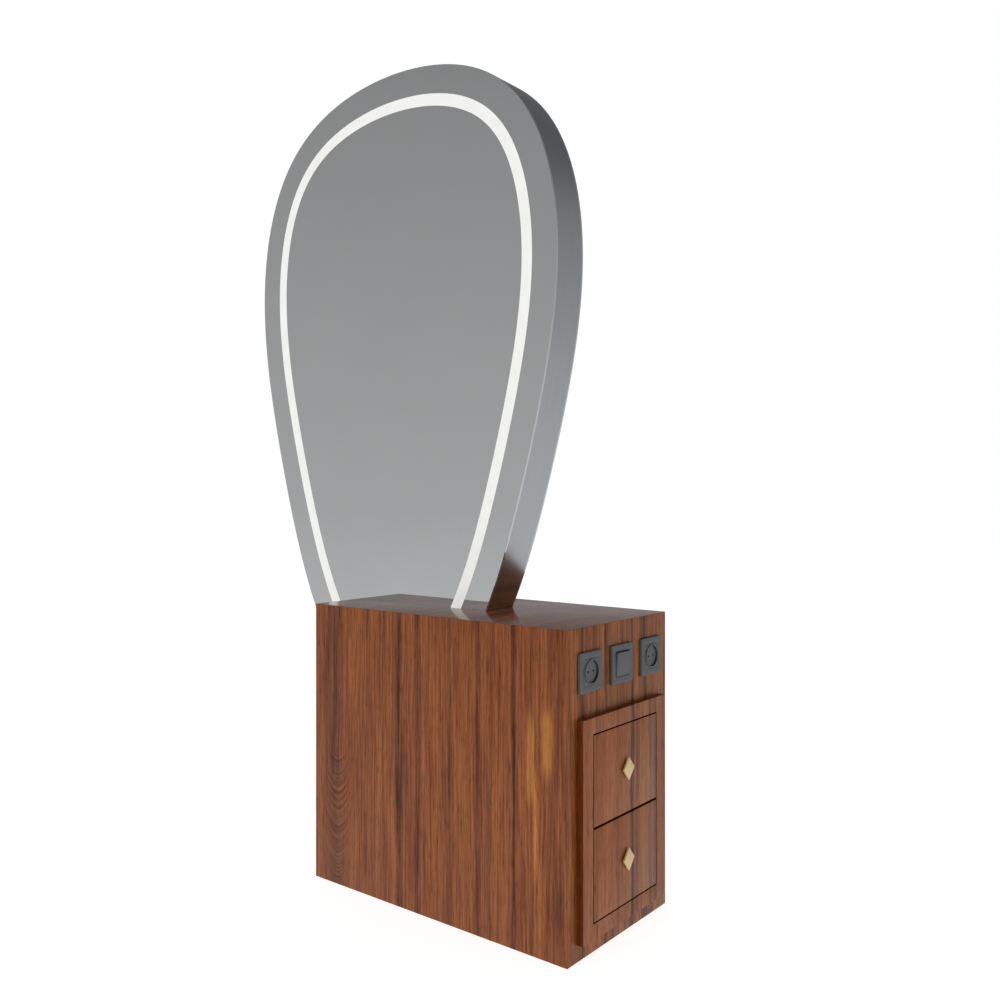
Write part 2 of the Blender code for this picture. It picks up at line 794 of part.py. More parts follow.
def build_socket(name, y):
    """A socket: cover frame, insert with a collared dish, its earth strap, and the box behind."""
    plate_frame(name + "_socket_frame", y)
    back_box(name + "_socket_box", y)
    flush_x = END_X + PLATE_PROUD + INSERT_FLUSH
    face_x = END_X + PLATE_PROUD + INSERT_PROUD
    floor_x = face_x - DISH_DEPTH
    insert = add_object(
        name + "_socket_insert",
        loft_mesh(
            [
                square(END_X + SEAT, y, INSERT_SIZE, INSERT_RADIUS),
                square(flush_x, y, INSERT_SIZE, INSERT_RADIUS),
            ]
        ),
        "anthracite_plastic",
    )
    collar = [
        circle(x, y, PLATE_HEIGHT, COLLAR_RADIUS, COLLAR_STEPS)
        for x in (END_X + PLATE_PROUD / 2, face_x)
    ]
    carve(insert, loft_mesh(collar), name + "_socket_collar_tool", "UNION")
    tail = [
        circle(END_X - INSERT_TAIL_LENGTH, y, PLATE_HEIGHT, INSERT_TAIL_RADIUS),
        circle(END_X + PLATE_PROUD / 2, y, PLATE_HEIGHT, INSERT_TAIL_RADIUS),
    ]
    carve(insert, loft_mesh(tail), name + "_socket_tail_tool", "UNION")
    widening = DISH_TAPER / DISH_DEPTH
    above = DISH_DEPTH
    dish = [
        circle(floor_x, y, PLATE_HEIGHT, DISH_RADIUS - DISH_TAPER, COLLAR_STEPS),
        circle(face_x + above, y, PLATE_HEIGHT, DISH_RADIUS + above * widening, COLLAR_STEPS),
    ]
    carve(insert, loft_mesh(dish), name + "_socket_dish_tool")
    notch_half = CONTACT_WIDTH / 2 + SEAT
    for label, side in (("upper", 1), ("lower", -1)):
        inner_z = PLATE_HEIGHT + side * (DISH_RADIUS - CONTACT_NOTCH)
        outer_z = PLATE_HEIGHT + side * CONTACT_REACH
        carve(
            insert,
            box_mesh(
                (floor_x, y - notch_half, min(inner_z, outer_z)),
                (face_x + above, y + notch_half, max(inner_z, outer_z)),
            ),
            name + "_socket_" + label + "_notch_tool",
        )
    bridge_x = floor_x - CONTACT_BURIAL
    carve(
        insert,
        strap_mesh(y, (bridge_x - SEAT, face_x + above), CONTACT_REACH, 2 * SEAT),
        name + "_socket_strap_tool",
    )
    add_object(
        name + "_socket_earth_strap",
        strap_mesh(y, (bridge_x, face_x - CONTACT_THICKNESS), CONTACT_REACH - SEAT, 0.0),
        "contact_steel",
    )
    for label, side in (("first", -1), ("second", 1)):
        pin_y = y + side * PIN_PITCH / 2
        pin = [
            circle(x, pin_y, PLATE_HEIGHT, PIN_HOLE_RADIUS, SMALL_ROUND_STEPS)
            for x in (floor_x - PIN_HOLE_DEPTH, face_x + above)
        ]
        carve(insert, loft_mesh(pin), name + "_socket_" + label + "_pin_tool")


def strap_mesh(y, depths, reach, growth):
    """The sprung earth strap of a socket: a U whose two tips stand in the notches of the dish."""
    rear, tip = depths
    thickness = CONTACT_THICKNESS + growth
    half_width = (CONTACT_WIDTH + growth) / 2
    profile = [
        (tip, reach),
        (rear, reach),
        (rear, -reach),
        (tip, -reach),
        (tip, thickness - reach),
        (rear + thickness, thickness - reach),
        (rear + thickness, reach - thickness),
        (tip, reach - thickness),
    ]
    rings = [
        [(x, y + side * half_width, PLATE_HEIGHT + z) for x, z in profile]
        for side in (-1, 1)
    ]
    return loft_mesh(rings)


def build_switch():
    """The lamp switch: cover frame, mechanism with a saddle, and the rocker that tilts in it."""
    y = 0.0
    plate_frame("switch_frame", y)
    back_box("switch_box", y)
    face_x = END_X + MECHANISM_PROUD
    axis_x = END_X + ROCKER_PIVOT_PROUD
    mechanism = add_object(
        "switch_mechanism",
        loft_mesh(
            [
                square(END_X + SEAT, y, INSERT_SIZE, INSERT_RADIUS),
                square(face_x, y, INSERT_SIZE, INSERT_RADIUS),
            ]
        ),
        "grey_plastic",
    )
    tail = [
        circle(END_X - INSERT_TAIL_LENGTH, y, PLATE_HEIGHT, INSERT_TAIL_RADIUS),
        circle(face_x - MECHANISM_PROUD / 4, y, PLATE_HEIGHT, INSERT_TAIL_RADIUS),
    ]
    carve(mechanism, loft_mesh(tail), "switch_tail_tool", "UNION")
    saddle_radius = ROCKER_PIVOT_RADIUS + SLIDE_PLAY
    saddle_half = ROCKER_PIVOT_LENGTH / 2 + SLIDE_PLAY
    carve(mechanism, bar_mesh(axis_x, saddle_radius, saddle_half), "switch_saddle_tool")
    plate_front = END_X + PLATE_PROUD + INSERT_PROUD
    plate_back = plate_front - ROCKER_PLATE
    rings = [
        square(plate_back, y, ROCKER_SIZE, INSERT_RADIUS),
        square(plate_front - PLATE_CORNER / 2, y, ROCKER_SIZE, INSERT_RADIUS),
        square(plate_front, y, ROCKER_SIZE - PLATE_CORNER, INSERT_RADIUS),
    ]
    axis = (axis_x, 0.0, PLATE_HEIGHT)
    rocker = add_object("switch_rocker", loft_mesh(rings), "anthracite_plastic", axis)
    web = box_mesh(
        (axis_x, -ROCKER_PIVOT_LENGTH / 2, PLATE_HEIGHT - ROCKER_WEB / 2),
        (plate_back + ROCKER_PLATE / 2, ROCKER_PIVOT_LENGTH / 2, PLATE_HEIGHT + ROCKER_WEB / 2),
    )
    tools = [
        carve(rocker, web, "rocker_web_tool", "UNION"),
        carve(
            rocker,
            bar_mesh(axis_x, ROCKER_PIVOT_RADIUS, ROCKER_PIVOT_LENGTH / 2),
            "rocker_pivot_tool",
            "UNION",
        ),
    ]
    pivot = carrier("switch_rocker_axis", axis)
    for piece in (rocker, *tools):
        hang_on(piece, pivot)
    pivot.rotation_euler = (0.0, math.radians(ROCKER_TILT), 0.0)


def bar_mesh(axis_x, radius, half_length):
    """A round bar along Y at the height of the plates."""
    rings = []
    for y in (-half_length, half_length):
        ring = []
        for k in range(ROUND_STEPS):
            angle = 2 * math.pi * k / ROUND_STEPS
            ring.append(
                (
                    axis_x + radius * math.cos(angle),
                    y,
                    PLATE_HEIGHT + radius * math.sin(angle),
                )
            )
        rings.append(ring)
    return loft_mesh(rings)


def build_driver():
    """The lamp driver, screwed down by its two ears on the drawer ceiling."""
    floor = CEILING_Z + INNER_BOARD + SEAT
    front_x = END_INNER_X - DRIVER_SETBACK
    back_x = front_x - DRIVER_LENGTH
    half = DRIVER_WIDTH / 2
    profile = [
        (back_x - DRIVER_EAR, floor),
        (front_x + DRIVER_EAR, floor),
        (front_x + DRIVER_EAR, floor + DRIVER_EAR_HEIGHT),
        (front_x, floor + DRIVER_EAR_HEIGHT),
        (front_x, floor + DRIVER_HEIGHT),
        (back_x, floor + DRIVER_HEIGHT),
        (back_x, floor + DRIVER_EAR_HEIGHT),
        (back_x - DRIVER_EAR, floor + DRIVER_EAR_HEIGHT),
    ]
    rings = [[(x, DRIVER_Y + side * half, z) for x, z in profile] for side in (-1, 1)]
    add_object("lamp_driver", loft_mesh(rings), "white_plastic")


def build_grommet():
    """The cable inlet in the plain end: a sleeve with an outer flange."""
    outer_x = -END_X - SEAT
    profile = (
        (-END_INNER_X, GROMMET_SLEEVE_RADIUS),
        (outer_x, GROMMET_SLEEVE_RADIUS),
        (outer_x, GROMMET_FLANGE_RADIUS),
        (outer_x - GROMMET_FLANGE, GROMMET_FLANGE_RADIUS),
        (outer_x - GROMMET_FLANGE, GROMMET_BORE_RADIUS),
        (-END_INNER_X, GROMMET_BORE_RADIUS),
    )
    rings = [circle(x, GROMMET_Y, GROMMET_HEIGHT, r) for x, r in profile]
    add_object("cable_grommet", loft_mesh(rings, closed=True), "grey_plastic")


def main():
    clear_scene()
    build_shell()
    build_inner_boards()
    build_mirror()
    build_surround()
    lower_z = OPENING_LOW + DRAWER_GAP
    build_drawer("lower", lower_z)
    build_drawer("upper", lower_z + FRONT_HEIGHT + DRAWER_SPLIT)
    build_socket("left", -PLATE_PITCH)
    build_socket("right", PLATE_PITCH)
    build_switch()
    build_driver()
    build_grommet()


main()
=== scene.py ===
"""Dressing of a salon styling station.

A tall egg-shaped mirror, silvered on both sides and set off by a lit band, stands in a cabinet of
lacquered walnut veneer. The cabinet's narrow end carries two sockets, a switch and two drawers.
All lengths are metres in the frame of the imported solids: +X out of the drawer end, +Z up.
"""
from __future__ import annotations

import logging
import math
from dataclasses import dataclass, replace
from enum import Enum
from typing import Sequence

import bmesh
import bpy
from mathutils import Matrix, Vector


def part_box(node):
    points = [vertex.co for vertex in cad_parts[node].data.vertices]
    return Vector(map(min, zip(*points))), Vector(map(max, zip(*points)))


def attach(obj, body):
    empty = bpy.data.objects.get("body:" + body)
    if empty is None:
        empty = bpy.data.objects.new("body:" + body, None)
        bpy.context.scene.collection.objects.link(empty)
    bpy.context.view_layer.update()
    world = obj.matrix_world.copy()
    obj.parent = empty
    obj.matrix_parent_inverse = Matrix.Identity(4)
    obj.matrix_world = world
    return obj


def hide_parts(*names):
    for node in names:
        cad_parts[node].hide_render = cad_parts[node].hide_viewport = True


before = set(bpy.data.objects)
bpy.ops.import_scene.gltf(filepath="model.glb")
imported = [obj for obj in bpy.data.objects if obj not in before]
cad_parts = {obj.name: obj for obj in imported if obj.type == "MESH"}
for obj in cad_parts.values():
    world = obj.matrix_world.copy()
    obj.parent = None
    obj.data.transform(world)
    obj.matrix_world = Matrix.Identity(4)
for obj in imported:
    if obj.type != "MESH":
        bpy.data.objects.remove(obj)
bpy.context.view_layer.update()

LOG = logging.getLogger("styling_station")

Tree = bpy.types.NodeTree
Socket = bpy.types.NodeSocket
Material = bpy.types.Material
Mesh = bmesh.types.BMesh
Point = tuple[float, float, float]
Pair = tuple[float, float]
Ring = list[Point]
Colour = tuple[float, float, float, float]

WHITE: Colour = (1.0, 1.0, 1.0, 1.0)
BLACK: Colour = (0.0, 0.0, 0.0, 1.0)
# Gap that keeps two neighbouring surfaces apart
HAIR = 0.0001
# Turns of a rounded edge, from the side to the face
QUARTER = (0.0, 0.5, 1.0, math.pi / 2)


def linear(code: str) -> Colour:
    """Turn an sRGB hex colour into linear light.

    Args:
        code: The colour as "#rrggbb".

    Returns:
        Red, green, blue and alpha in linear light.
    """
    parts = [int(code[i : i + 2], 16) / 255 for i in (1, 3, 5)]
    red, green, blue = (
        part / 12.92 if part <= 0.04045 else ((part + 0.055) / 1.055) ** 2.4 for part in parts
    )
    return (red, green, blue, 1.0)


def add_node(tree: Tree, kind: str, settings: dict | None = None) -> bpy.types.Node:
    """Add one node, set it and link it.

    Args:
        tree: The node tree.
        kind: The node's type name.
        settings: Values by attribute name, input name or input number. A socket is linked.

    Returns:
        The new node.
    """
    node = tree.nodes.new(kind)
    for key, value in (settings or {}).items():
        if isinstance(value, Socket):
            tree.links.new(value, node.inputs[key])
        elif isinstance(key, str) and hasattr(node, key):
            setattr(node, key, value)
        else:
            node.inputs[key].default_value = value
    return node


def calc(tree: Tree, operation: str, *values: Socket | float, clamp: bool = False) -> Socket:
    """Add one step of arithmetic.

    Args:
        tree: The node tree.
        operation: The step's name.
        values: What goes in.
        clamp: Whether the result is kept within 0 and 1.

    Returns:
        The result's socket.
    """
    settings = {"operation": operation, "use_clamp": clamp} | dict(enumerate(values))
    return add_node(tree, "ShaderNodeMath", settings).outputs[0]


def remap(tree: Tree, value: Socket, spread: Sequence[float], kind: str = "LINEAR") -> Socket:
    """Map one range of values to another.

    Args:
        tree: The node tree.
        value: The value's socket.
        spread: The old range's ends, then the new range's.
        kind: How it runs between the ends.

    Returns:
        The new value's socket.
    """
    settings = {"interpolation_type": kind} | dict(enumerate((value, *spread)))
    return add_node(tree, "ShaderNodeMapRange", settings).outputs[0]


def blend(
    tree: Tree, share: Socket | float, under: Socket, over: Socket | Colour, mode: str = "MIX"
) -> Socket:
    """Lay one colour over another.

    Args:
        tree: The node tree.
        share: How much of the upper one shows.
        under: The lower colour.
        over: The upper colour.
        mode: How they join.

    Returns:
        The colour's socket.
    """
    # Inputs 6 and 7 of this node are its two colours
    settings = {"data_type": "RGBA", "blend_type": mode, 0: share, 6: under, 7: over}
    return add_node(tree, "ShaderNodeMix", settings).outputs[2]


def fade(
    tree: Tree, share: Socket | float, under: Socket | float, over: Socket | float
) -> Socket:
    """Pass from one value to another.

    Args:
        tree: The node tree.
        share: 0 for the first value, 1 for the second.
        under: The first value.
        over: The second value.

    Returns:
        The value's socket.
    """
    # Inputs 2 and 3 of this node are its two values
    settings = {"data_type": "FLOAT", 0: share, 2: under, 3: over}
    return add_node(tree, "ShaderNodeMix", settings).outputs[0]


def ramped(tree: Tree, value: Socket, stops: Sequence[tuple[float, Colour]]) -> Socket:
    """Colour a value by a ramp.

    Args:
        tree: The node tree.
        value: The value's socket.
        stops: Positions from 0 to 1 with their colours, in rising order.

    Returns:
        The colour's socket.
    """
    node = add_node(tree, "ShaderNodeValToRGB", {0: value})
    elements = node.color_ramp.elements
    while len(elements) > 1:
        elements.remove(elements[-1])
    elements[0].position = stops[0][0]
    elements[0].color = stops[0][1]
    for position, colour in stops[1:]:
        elements.new(position).color = colour
    return node.outputs[0]


def new_material(name: str) -> tuple[Material, Tree, bpy.types.Node]:
    """Start a material.

    Args:
        name: The finish's name.

    Returns:
        The material, its node tree and its surface shader.
    """
    material = bpy.data.materials.new(name)
    material.use_nodes = True
    tree = material.node_tree
    return material, tree, tree.nodes["Principled BSDF"]


def noise_at(tree: Tree, source: Socket, scale: Point, detail: float = 2.0) -> Socket:
    """Read a noise pattern that is stretched by a scale for each axis.

    Args:
        tree: The node tree.
        source: The coordinates to read it at.
        scale: Pattern cells for each metre along each axis.
        detail: How many finer layers the pattern has.

    Returns:
        The pattern's value socket.
    """
    spread = add_node(tree, "ShaderNodeMapping", {"Scale": scale, "Vector": source}).outputs[0]
    settings = {"Scale": 1.0, "Detail": detail, "Roughness": 0.6, "Vector": spread}
    return add_node(tree, "ShaderNodeTexNoise", settings).outputs["Fac"]


def roughen(
    tree: Tree, shader: bpy.types.Node, height: Socket, strength: float, depth: float
) -> None:
    """Raise a surface by a pattern.

    Args:
        tree: The node tree.
        shader: The surface shader.
        height: The pattern.
        strength: Share of the relief that shows.
        depth: Height of the relief.
    """
    settings = {"Strength": strength, "Distance": depth, "Height": height}
    bump = add_node(tree, "ShaderNodeBump", settings)
    tree.links.new(bump.outputs[0], shader.inputs["Normal"])


def vary(tree: Tree, value: Socket, low: float, high: float) -> Socket:
    """Spread a 0.25 to 0.75 pattern over a range of values.

    Args:
        tree: The node tree.
        value: The pattern's socket.
        low: Result where the pattern is 0.25.
        high: Result where the pattern is 0.75.

    Returns:
        The socket with the ranged value.
    """
    return remap(tree, value, (0.25, 0.75, low, high))


class Lay(Enum):
    """How a veneered face lies: axis across the grain, axis along it, axis square to the face."""

    FRONT = ("X", "Z", "Y")
    END = ("Y", "Z", "X")
    TOP = ("X", "Y", "Z")


@dataclass(frozen=True)
class Streak:
    """A dark line of heartwood: its place across the grain, half width and strength."""

    at: float
    width: float
    strength: float


@dataclass(frozen=True)
class Patch:
    """A patch of the leaf between two heights: its place, half width, ends and strength."""

    at: float
    width: float
    low: float
    high: float
    strength: float


@dataclass(frozen=True)
class LacqueredWalnut:
    """Sliced walnut veneer under a clear lacquer: straight dark grain under a smooth soft gloss.

    Streaks are dark heartwood, tongues are pale sapwood, and arches are where the leaf was cut
    through growth rings, crowns down.
    """

    name: str
    lay: Lay
    plane: float
    seed: float
    span: Pair
    streaks: tuple[Streak, ...]
    tongues: tuple[Patch, ...] = ()
    arches: tuple[Patch, ...] = ()
    dark: str = "#7a3a1b"
    middle: str = "#98542a"
    light: str = "#ae6735"
    heart: str = "#3d1c0e"
    sap: str = "#c67e38"
    spread: float = 0.12
    rough: Pair = (0.30, 0.22)
    sheen: float = 0.30

    def material(self) -> Material:
        """Build the veneer.

        Returns:
            The material.
        """
        material, tree, shader = new_material(self.name)
        place = add_node(tree, "ShaderNodeTexCoord")
        axes = add_node(tree, "ShaderNodeSeparateXYZ", {0: place.outputs["Object"]})
        across, along, depth = (axes.outputs[axis] for axis in self.lay.value)
        # On the edges of a piece the figure runs on into the depth
        width = calc(tree, "ADD", across, calc(tree, "SUBTRACT", depth, self.plane))
        # The leaf's slow sway, some 5 mm over 300 mm of length, with finer waves in it
        drift = noise_at(tree, self.leaf(tree, width, along), (7.0, 2.6, 1.0), 4.0)
        sway = calc(tree, "MULTIPLY_ADD", drift, 0.014, -0.007)
        swayed = calc(tree, "ADD", width, sway)
        lay = self.leaf(tree, swayed, along)
        # Colour bands 28 mm wide, growth lines 5 mm with finer ones inside, and dark pore marks
        # of 2 x 35 mm, coarser than real pores so that they show
        bands = noise_at(tree, lay, (36.0, 2.2, 1.0), 3.0)
        lines = noise_at(tree, lay, (200.0, 5.0, 1.0), 5.0)
        pores = noise_at(tree, lay, (430.0, 26.0, 1.0), 3.0)
        tone = fade(tree, 0.66, bands, lines)
        for arch in self.arches:
            tone = self.arched(tree, tone, swayed, along, arch)
        stops = (
            (0.50 - self.spread, linear(self.dark)),
            (0.50, linear(self.middle)),
            (0.50 + self.spread, linear(self.light)),
        )
        colour = ramped(tree, tone, stops)
        for tongue in self.tongues:
            # The growth lines fray the tongue's edge
            frayed = calc(tree, "MULTIPLY", lines, 2.0 * tongue.strength)
            mask = self.window(tree, swayed, along, tongue)
            weight = calc(tree, "MULTIPLY", mask, frayed, clamp=True)
            colour = blend(tree, weight, colour, linear(self.sap))
        colour = self.streaked(tree, colour, swayed, lay, lines)
        pored = remap(tree, pores, (0.34, 0.47, 0.56, 1.0))
        shaded = blend(tree, 1.0, colour, pored, "MULTIPLY")
        tree.links.new(shaded, shader.inputs["Base Color"])
        tree.links.new(vary(tree, lines, *self.rough), shader.inputs["Roughness"])
        roughen(tree, shader, pored, 0.25, 0.00012)
        shader.inputs["Specular IOR Level"].default_value = self.sheen
        return material

    def leaf(self, tree: Tree, across: Socket, along: Socket | float = 0.0) -> Socket:
        """Coordinates on this leaf, apart from every other leaf's.

        Args:
            tree: The node tree.
            across: Place across the grain.
            along: Place along the grain.

        Returns:
            The coordinates' socket.
        """
        parts = {"X": across, "Y": along, "Z": self.seed}
        return add_node(tree, "ShaderNodeCombineXYZ", parts).outputs[0]

    def window(self, tree: Tree, across: Socket, along: Socket, patch: Patch) -> Socket:
        """Mask a soft-edged patch of the leaf.

        Args:
            tree: The node tree.
            across: Place across the grain.
            along: Place along the grain.
            patch: The patch.

        Returns:
            The mask's socket, 1 in the middle and 0 outside.
        """
        away = calc(tree, "ABSOLUTE", calc(tree, "SUBTRACT", across, patch.at))
        side = remap(tree, away, (patch.width, 0.0, 0.0, 1.0), "SMOOTHSTEP")
        soft = (patch.high - patch.low) * 0.35
        rise = remap(tree, along, (patch.low, patch.low + soft, 0.0, 1.0), "SMOOTHSTEP")
        fall = remap(tree, along, (patch.high, patch.high - soft, 0.0, 1.0), "SMOOTHSTEP")
        return calc(tree, "MULTIPLY", calc(tree, "MULTIPLY", rise, fall), side)

    def arched(
        self, tree: Tree, tone: Socket, across: Socket, along: Socket, arch: Patch
    ) -> Socket:
        """Draw nested arches into the tone.

        Args:
            tree: The node tree.
            tone: The tone so far.
            across: Place across the grain.
            along: Place along the grain.
            arch: The arches.

        Returns:
            The tone's socket with the arches.
        """
        share = calc(tree, "DIVIDE", calc(tree, "SUBTRACT", across, arch.at), arch.width)
        bow = calc(tree, "POWER", share, 2.0)
        rise = calc(tree, "MULTIPLY_ADD", bow, -0.12, along)
        # Ring spacing about 8 mm at the crown
        rings = noise_at(tree, self.leaf(tree, rise), (110.0, 1.0, 1.0), 2.0)
        mask = self.window(tree, across, along, arch)
        return fade(tree, calc(tree, "MULTIPLY", mask, arch.strength), tone, rings)

    def streaked(
        self, tree: Tree, colour: Socket, across: Socket, lay: Socket, lines: Socket
    ) -> Socket:
        """Draw the dark heartwood streaks.

        Args:
            tree: The node tree.
            colour: The colour so far.
            across: Place across the grain.
            lay: Coordinates that follow the leaf.
            lines: The growth lines, which split a streak into threads.

        Returns:
            The colour's socket with the streaks.
        """
        low, high = self.span
        stops = [(0.0, BLACK)]
        nudge = 1e-4
        for streak in sorted(self.streaks, key=lambda item: item.at):
            middle = (streak.at - low) / (high - low)
            reach = streak.width / (high - low)
            start = max(middle - reach, stops[-1][0] + nudge)
            level = streak.strength
            stops.append((start, BLACK))
            stops.append((max(middle, start + nudge), (level, level, level, 1.0)))
            stops.append((middle + reach, BLACK))
        shown = ramped(tree, remap(tree, across, (low, high, 0.0, 1.0)), stops)
        # Each streak fades and returns along its length, every 150 mm or so
        fading = noise_at(tree, lay, (24.0, 6.5, 1.0), 3.0)
        amount = calc(tree, "MULTIPLY", shown, vary(tree, fading, 0.50, 1.30))
        threads = calc(tree, "MULTIPLY", amount, vary(tree, lines, 1.50, 0.50))
        return blend(tree, threads, colour, linear(self.heart))


@dataclass(frozen=True)
class BirchPly:
    """Clear-coated birch plywood: pale faces with fine grain, and 1.5 mm plies on the edges."""

    thickness_axis: str
    grain_axis: str

    def material(self) -> Material:
        """Build the plywood.

        Returns:
            The material.
        """
        name = "birch_ply_clear_coated_" + self.thickness_axis.lower()
        material, tree, shader = new_material(name)
        place = add_node(tree, "ShaderNodeTexCoord")
        # Birch grain: 4 mm lines, drawn out 30 times along the sheet
        scale = tuple(8.0 if axis == self.grain_axis else 240.0 for axis in "XYZ")
        grain = noise_at(tree, place.outputs["Object"], scale, 3.0)
        face = ramped(tree, grain, ((0.32, linear("#c9ab7e")), (0.68, linear("#e2cba3"))))
        axes = add_node(tree, "ShaderNodeSeparateXYZ", {0: place.outputs["Object"]})
        plies = calc(tree, "MULTIPLY", axes.outputs[self.thickness_axis], math.pi / 0.0015)
        wave = calc(tree, "SINE", plies)
        edge = ramped(tree, wave, ((0.0, linear("#8f6d45")), (0.35, linear("#d9c096"))))
        normal = add_node(tree, "ShaderNodeSeparateXYZ", {0: place.outputs["Normal"]})
        facing = calc(tree, "ABSOLUTE", normal.outputs[self.thickness_axis])
        on_face = calc(tree, "GREATER_THAN", facing, 0.5)
        tree.links.new(blend(tree, on_face, edge, face), shader.inputs["Base Color"])
        tree.links.new(vary(tree, grain, 0.52, 0.40), shader.inputs["Roughness"])
        return material


@dataclass(frozen=True)
class Finish:
    """A finish with one colour that a fine pattern varies, such as a moulded or a plated one."""

    name: str
    deep: str
    pale: str
    rough: Pair
    grit: Point
    metallic: float = 0.0
    bump: float = 0.0
    glow: float = 0.0

    def material(self) -> Material:
        """Build the finish.

        Returns:
            The material.
        """
        material, tree, shader = new_material(self.name)
        place = add_node(tree, "ShaderNodeTexCoord")
        pattern = noise_at(tree, place.outputs["Object"], self.grit, 3.0)
        stops = ((0.30, linear(self.deep)), (0.70, linear(self.pale)))
        colour = ramped(tree, pattern, stops)
        tree.links.new(colour, shader.inputs["Base Color"])
        tree.links.new(vary(tree, pattern, *self.rough), shader.inputs["Roughness"])
        shader.inputs["Metallic"].default_value = self.metallic
        if self.bump:
            roughen(tree, shader, pattern, 0.4, self.bump)
        if self.glow:
            tree.links.new(colour, shader.inputs["Emission Color"])
            shader.inputs["Emission Strength"].default_value = self.glow
        return material


# Float glass silvered on its back: a clean, cool reflection with the slight pull of the float line
SILVERED_GLASS = Finish(
    "float_glass_silvered", "#f2f4f4", "#f6f7f7", (0.012, 0.020), (3.0, 3.0, 3.0), metallic=1.0
)
# Ground and polished glass edge, silvered behind: a thin bright line with a sharp reflection
GLASS_EDGE = Finish(
    "float_glass_polished_edge",
    "#f0f4f3",
    "#f7f9f9",
    (0.03, 0.06),
    (40.0, 40.0, 40.0),
    metallic=0.9,
)
# Bright-annealed stainless strip, rolled: a near mirror that blurs with distance
STAINLESS_STRIP = Finish(
    "stainless_strip_bright_annealed",
    "#cbced1",
    "#d1d4d7",
    (0.20, 0.24),
    (8.0, 260.0, 8.0),
    metallic=1.0,
)
# Opal cast acrylic lit from behind: an even white that hides the lamps
OPAL_ACRYLIC = Finish(
    "opal_acrylic_cast", "#a9a9a7", "#adadab", (0.25, 0.33), (25.0, 25.0, 25.0), glow=1.42
)
# Lamp tape: a white printed strip
LAMP_TAPE = Finish("lamp_tape_printed", "#d8d2a8", "#efe9c8", (0.4, 0.6), (90.0, 90.0, 90.0))
# Sawn softwood core: rough, dull and pale
SAWN_CORE = Finish(
    "pine_core_sawn", "#b08a5c", "#cba878", (0.70, 0.85), (60.0, 60.0, 6.0), bump=0.0002
)
# Cold-rolled steel, zinc plated: a cool grey with fine rolling lines along the slide
ZINC_STEEL = Finish(
    "steel_zinc_plated", "#b2b6ba", "#cbced1", (0.26, 0.40), (20.0, 700.0, 700.0), metallic=1.0
)
# Nickel-plated spring steel: a small bright tip
NICKEL_SPRING = Finish(
    "spring_steel_nickel_plated",
    "#c6c4be",
    "#dcdad4",
    (0.18, 0.28),
    (200.0, 200.0, 200.0),
    metallic=1.0,
)
# Pale brass, cast and satin brushed: a warm, soft sheen
PALE_BRASS = Finish(
    "pale_brass_satin_brushed",
    "#ecca90",
    "#f8dcaa",
    (0.30, 0.40),
    (300.0, 60.0, 900.0),
    metallic=0.35,
)
# ABS moulded with a fine spark texture, 0.5 mm grains drawn a little coarse so that they show
ANTHRACITE_ABS = Finish(
    "abs_moulded_anthracite",
    "#55585b",
    "#606366",
    (0.40, 0.50),
    (1600.0, 1600.0, 1600.0),
    bump=0.00002,
)
GREY_ABS = Finish(
    "abs_moulded_dark_grey",
    "#46484a",
    "#525456",
    (0.45, 0.6),
    (1200.0, 1200.0, 1200.0),
    bump=0.00002,
)
# Painted shade: a darker copy of the moulded plastic, for faces in recesses and for the mechanism
# behind the rocker, where shade falls
PAINTED_SHADE_ABS = Finish(
    "abs_moulded_painted_shade", "#232527", "#2b2d2f", (0.45, 0.6), (1200.0, 1200.0, 1200.0), bump=0.00002
)
WHITE_ABS = Finish(
    "abs_moulded_white", "#d9d9d5", "#e6e6e2", (0.40, 0.55), (900.0, 900.0, 900.0), bump=0.00002
)

FRONT_VENEER = LacqueredWalnut(
    name="walnut_veneer_front_lacquered",
    lay=Lay.FRONT,
    plane=-0.192,
    seed=3.1,
    span=(-0.37, 0.37),
    streaks=(
        Streak(-0.300, 0.055, 0.55), Streak(-0.134, 0.006, 0.35), Streak(-0.088, 0.014, 0.95),
        Streak(-0.030, 0.012, 0.75), Streak(0.062, 0.010, 0.50), Streak(0.138, 0.011, 0.70),
        Streak(0.172, 0.012, 0.30), Streak(0.232, 0.008, 1.00), Streak(0.276, 0.007, 0.35),
        Streak(0.340, 0.030, 0.35),
    ),
    tongues=(
        Patch(0.275, 0.014, 0.27, 0.51, 1.50), Patch(0.317, 0.020, 0.34, 0.51, 1.50),
        Patch(0.286, 0.008, 0.12, 0.40, 1.25), Patch(0.298, 0.007, -0.04, 0.24, 0.80),
    ),
    arches=(Patch(-0.290, 0.070, -0.12, 0.36, 1.25),),
)
END_VENEER = LacqueredWalnut(
    name="walnut_veneer_end_lacquered",
    lay=Lay.END,
    plane=0.3635,
    seed=8.4,
    span=(-0.2, 0.2),
    streaks=(
        Streak(-0.139, 0.007, 0.85), Streak(-0.055, 0.007, 1.00), Streak(0.026, 0.010, 0.25),
        Streak(0.050, 0.010, 0.90), Streak(0.102, 0.026, 0.70), Streak(0.134, 0.009, 0.45),
    ),
    dark="#6f3618",
    middle="#8f5126",
    light="#a86733",
)
DRAWER_VENEER = LacqueredWalnut(
    name="walnut_veneer_drawers_lacquered",
    lay=Lay.END,
    plane=0.3795,
    seed=8.9,
    span=(-0.2, 0.2),
    streaks=(
        Streak(-0.114, 0.007, 0.35), Streak(-0.034, 0.008, 0.20), Streak(0.024, 0.013, 0.80),
        Streak(0.042, 0.012, 0.50), Streak(0.098, 0.009, 0.50), Streak(0.118, 0.010, 0.60),
        Streak(0.152, 0.010, 0.35),
    ),
    dark="#82452a",
    middle="#9b5a31",
    light="#b37143",
    spread=0.20,
)
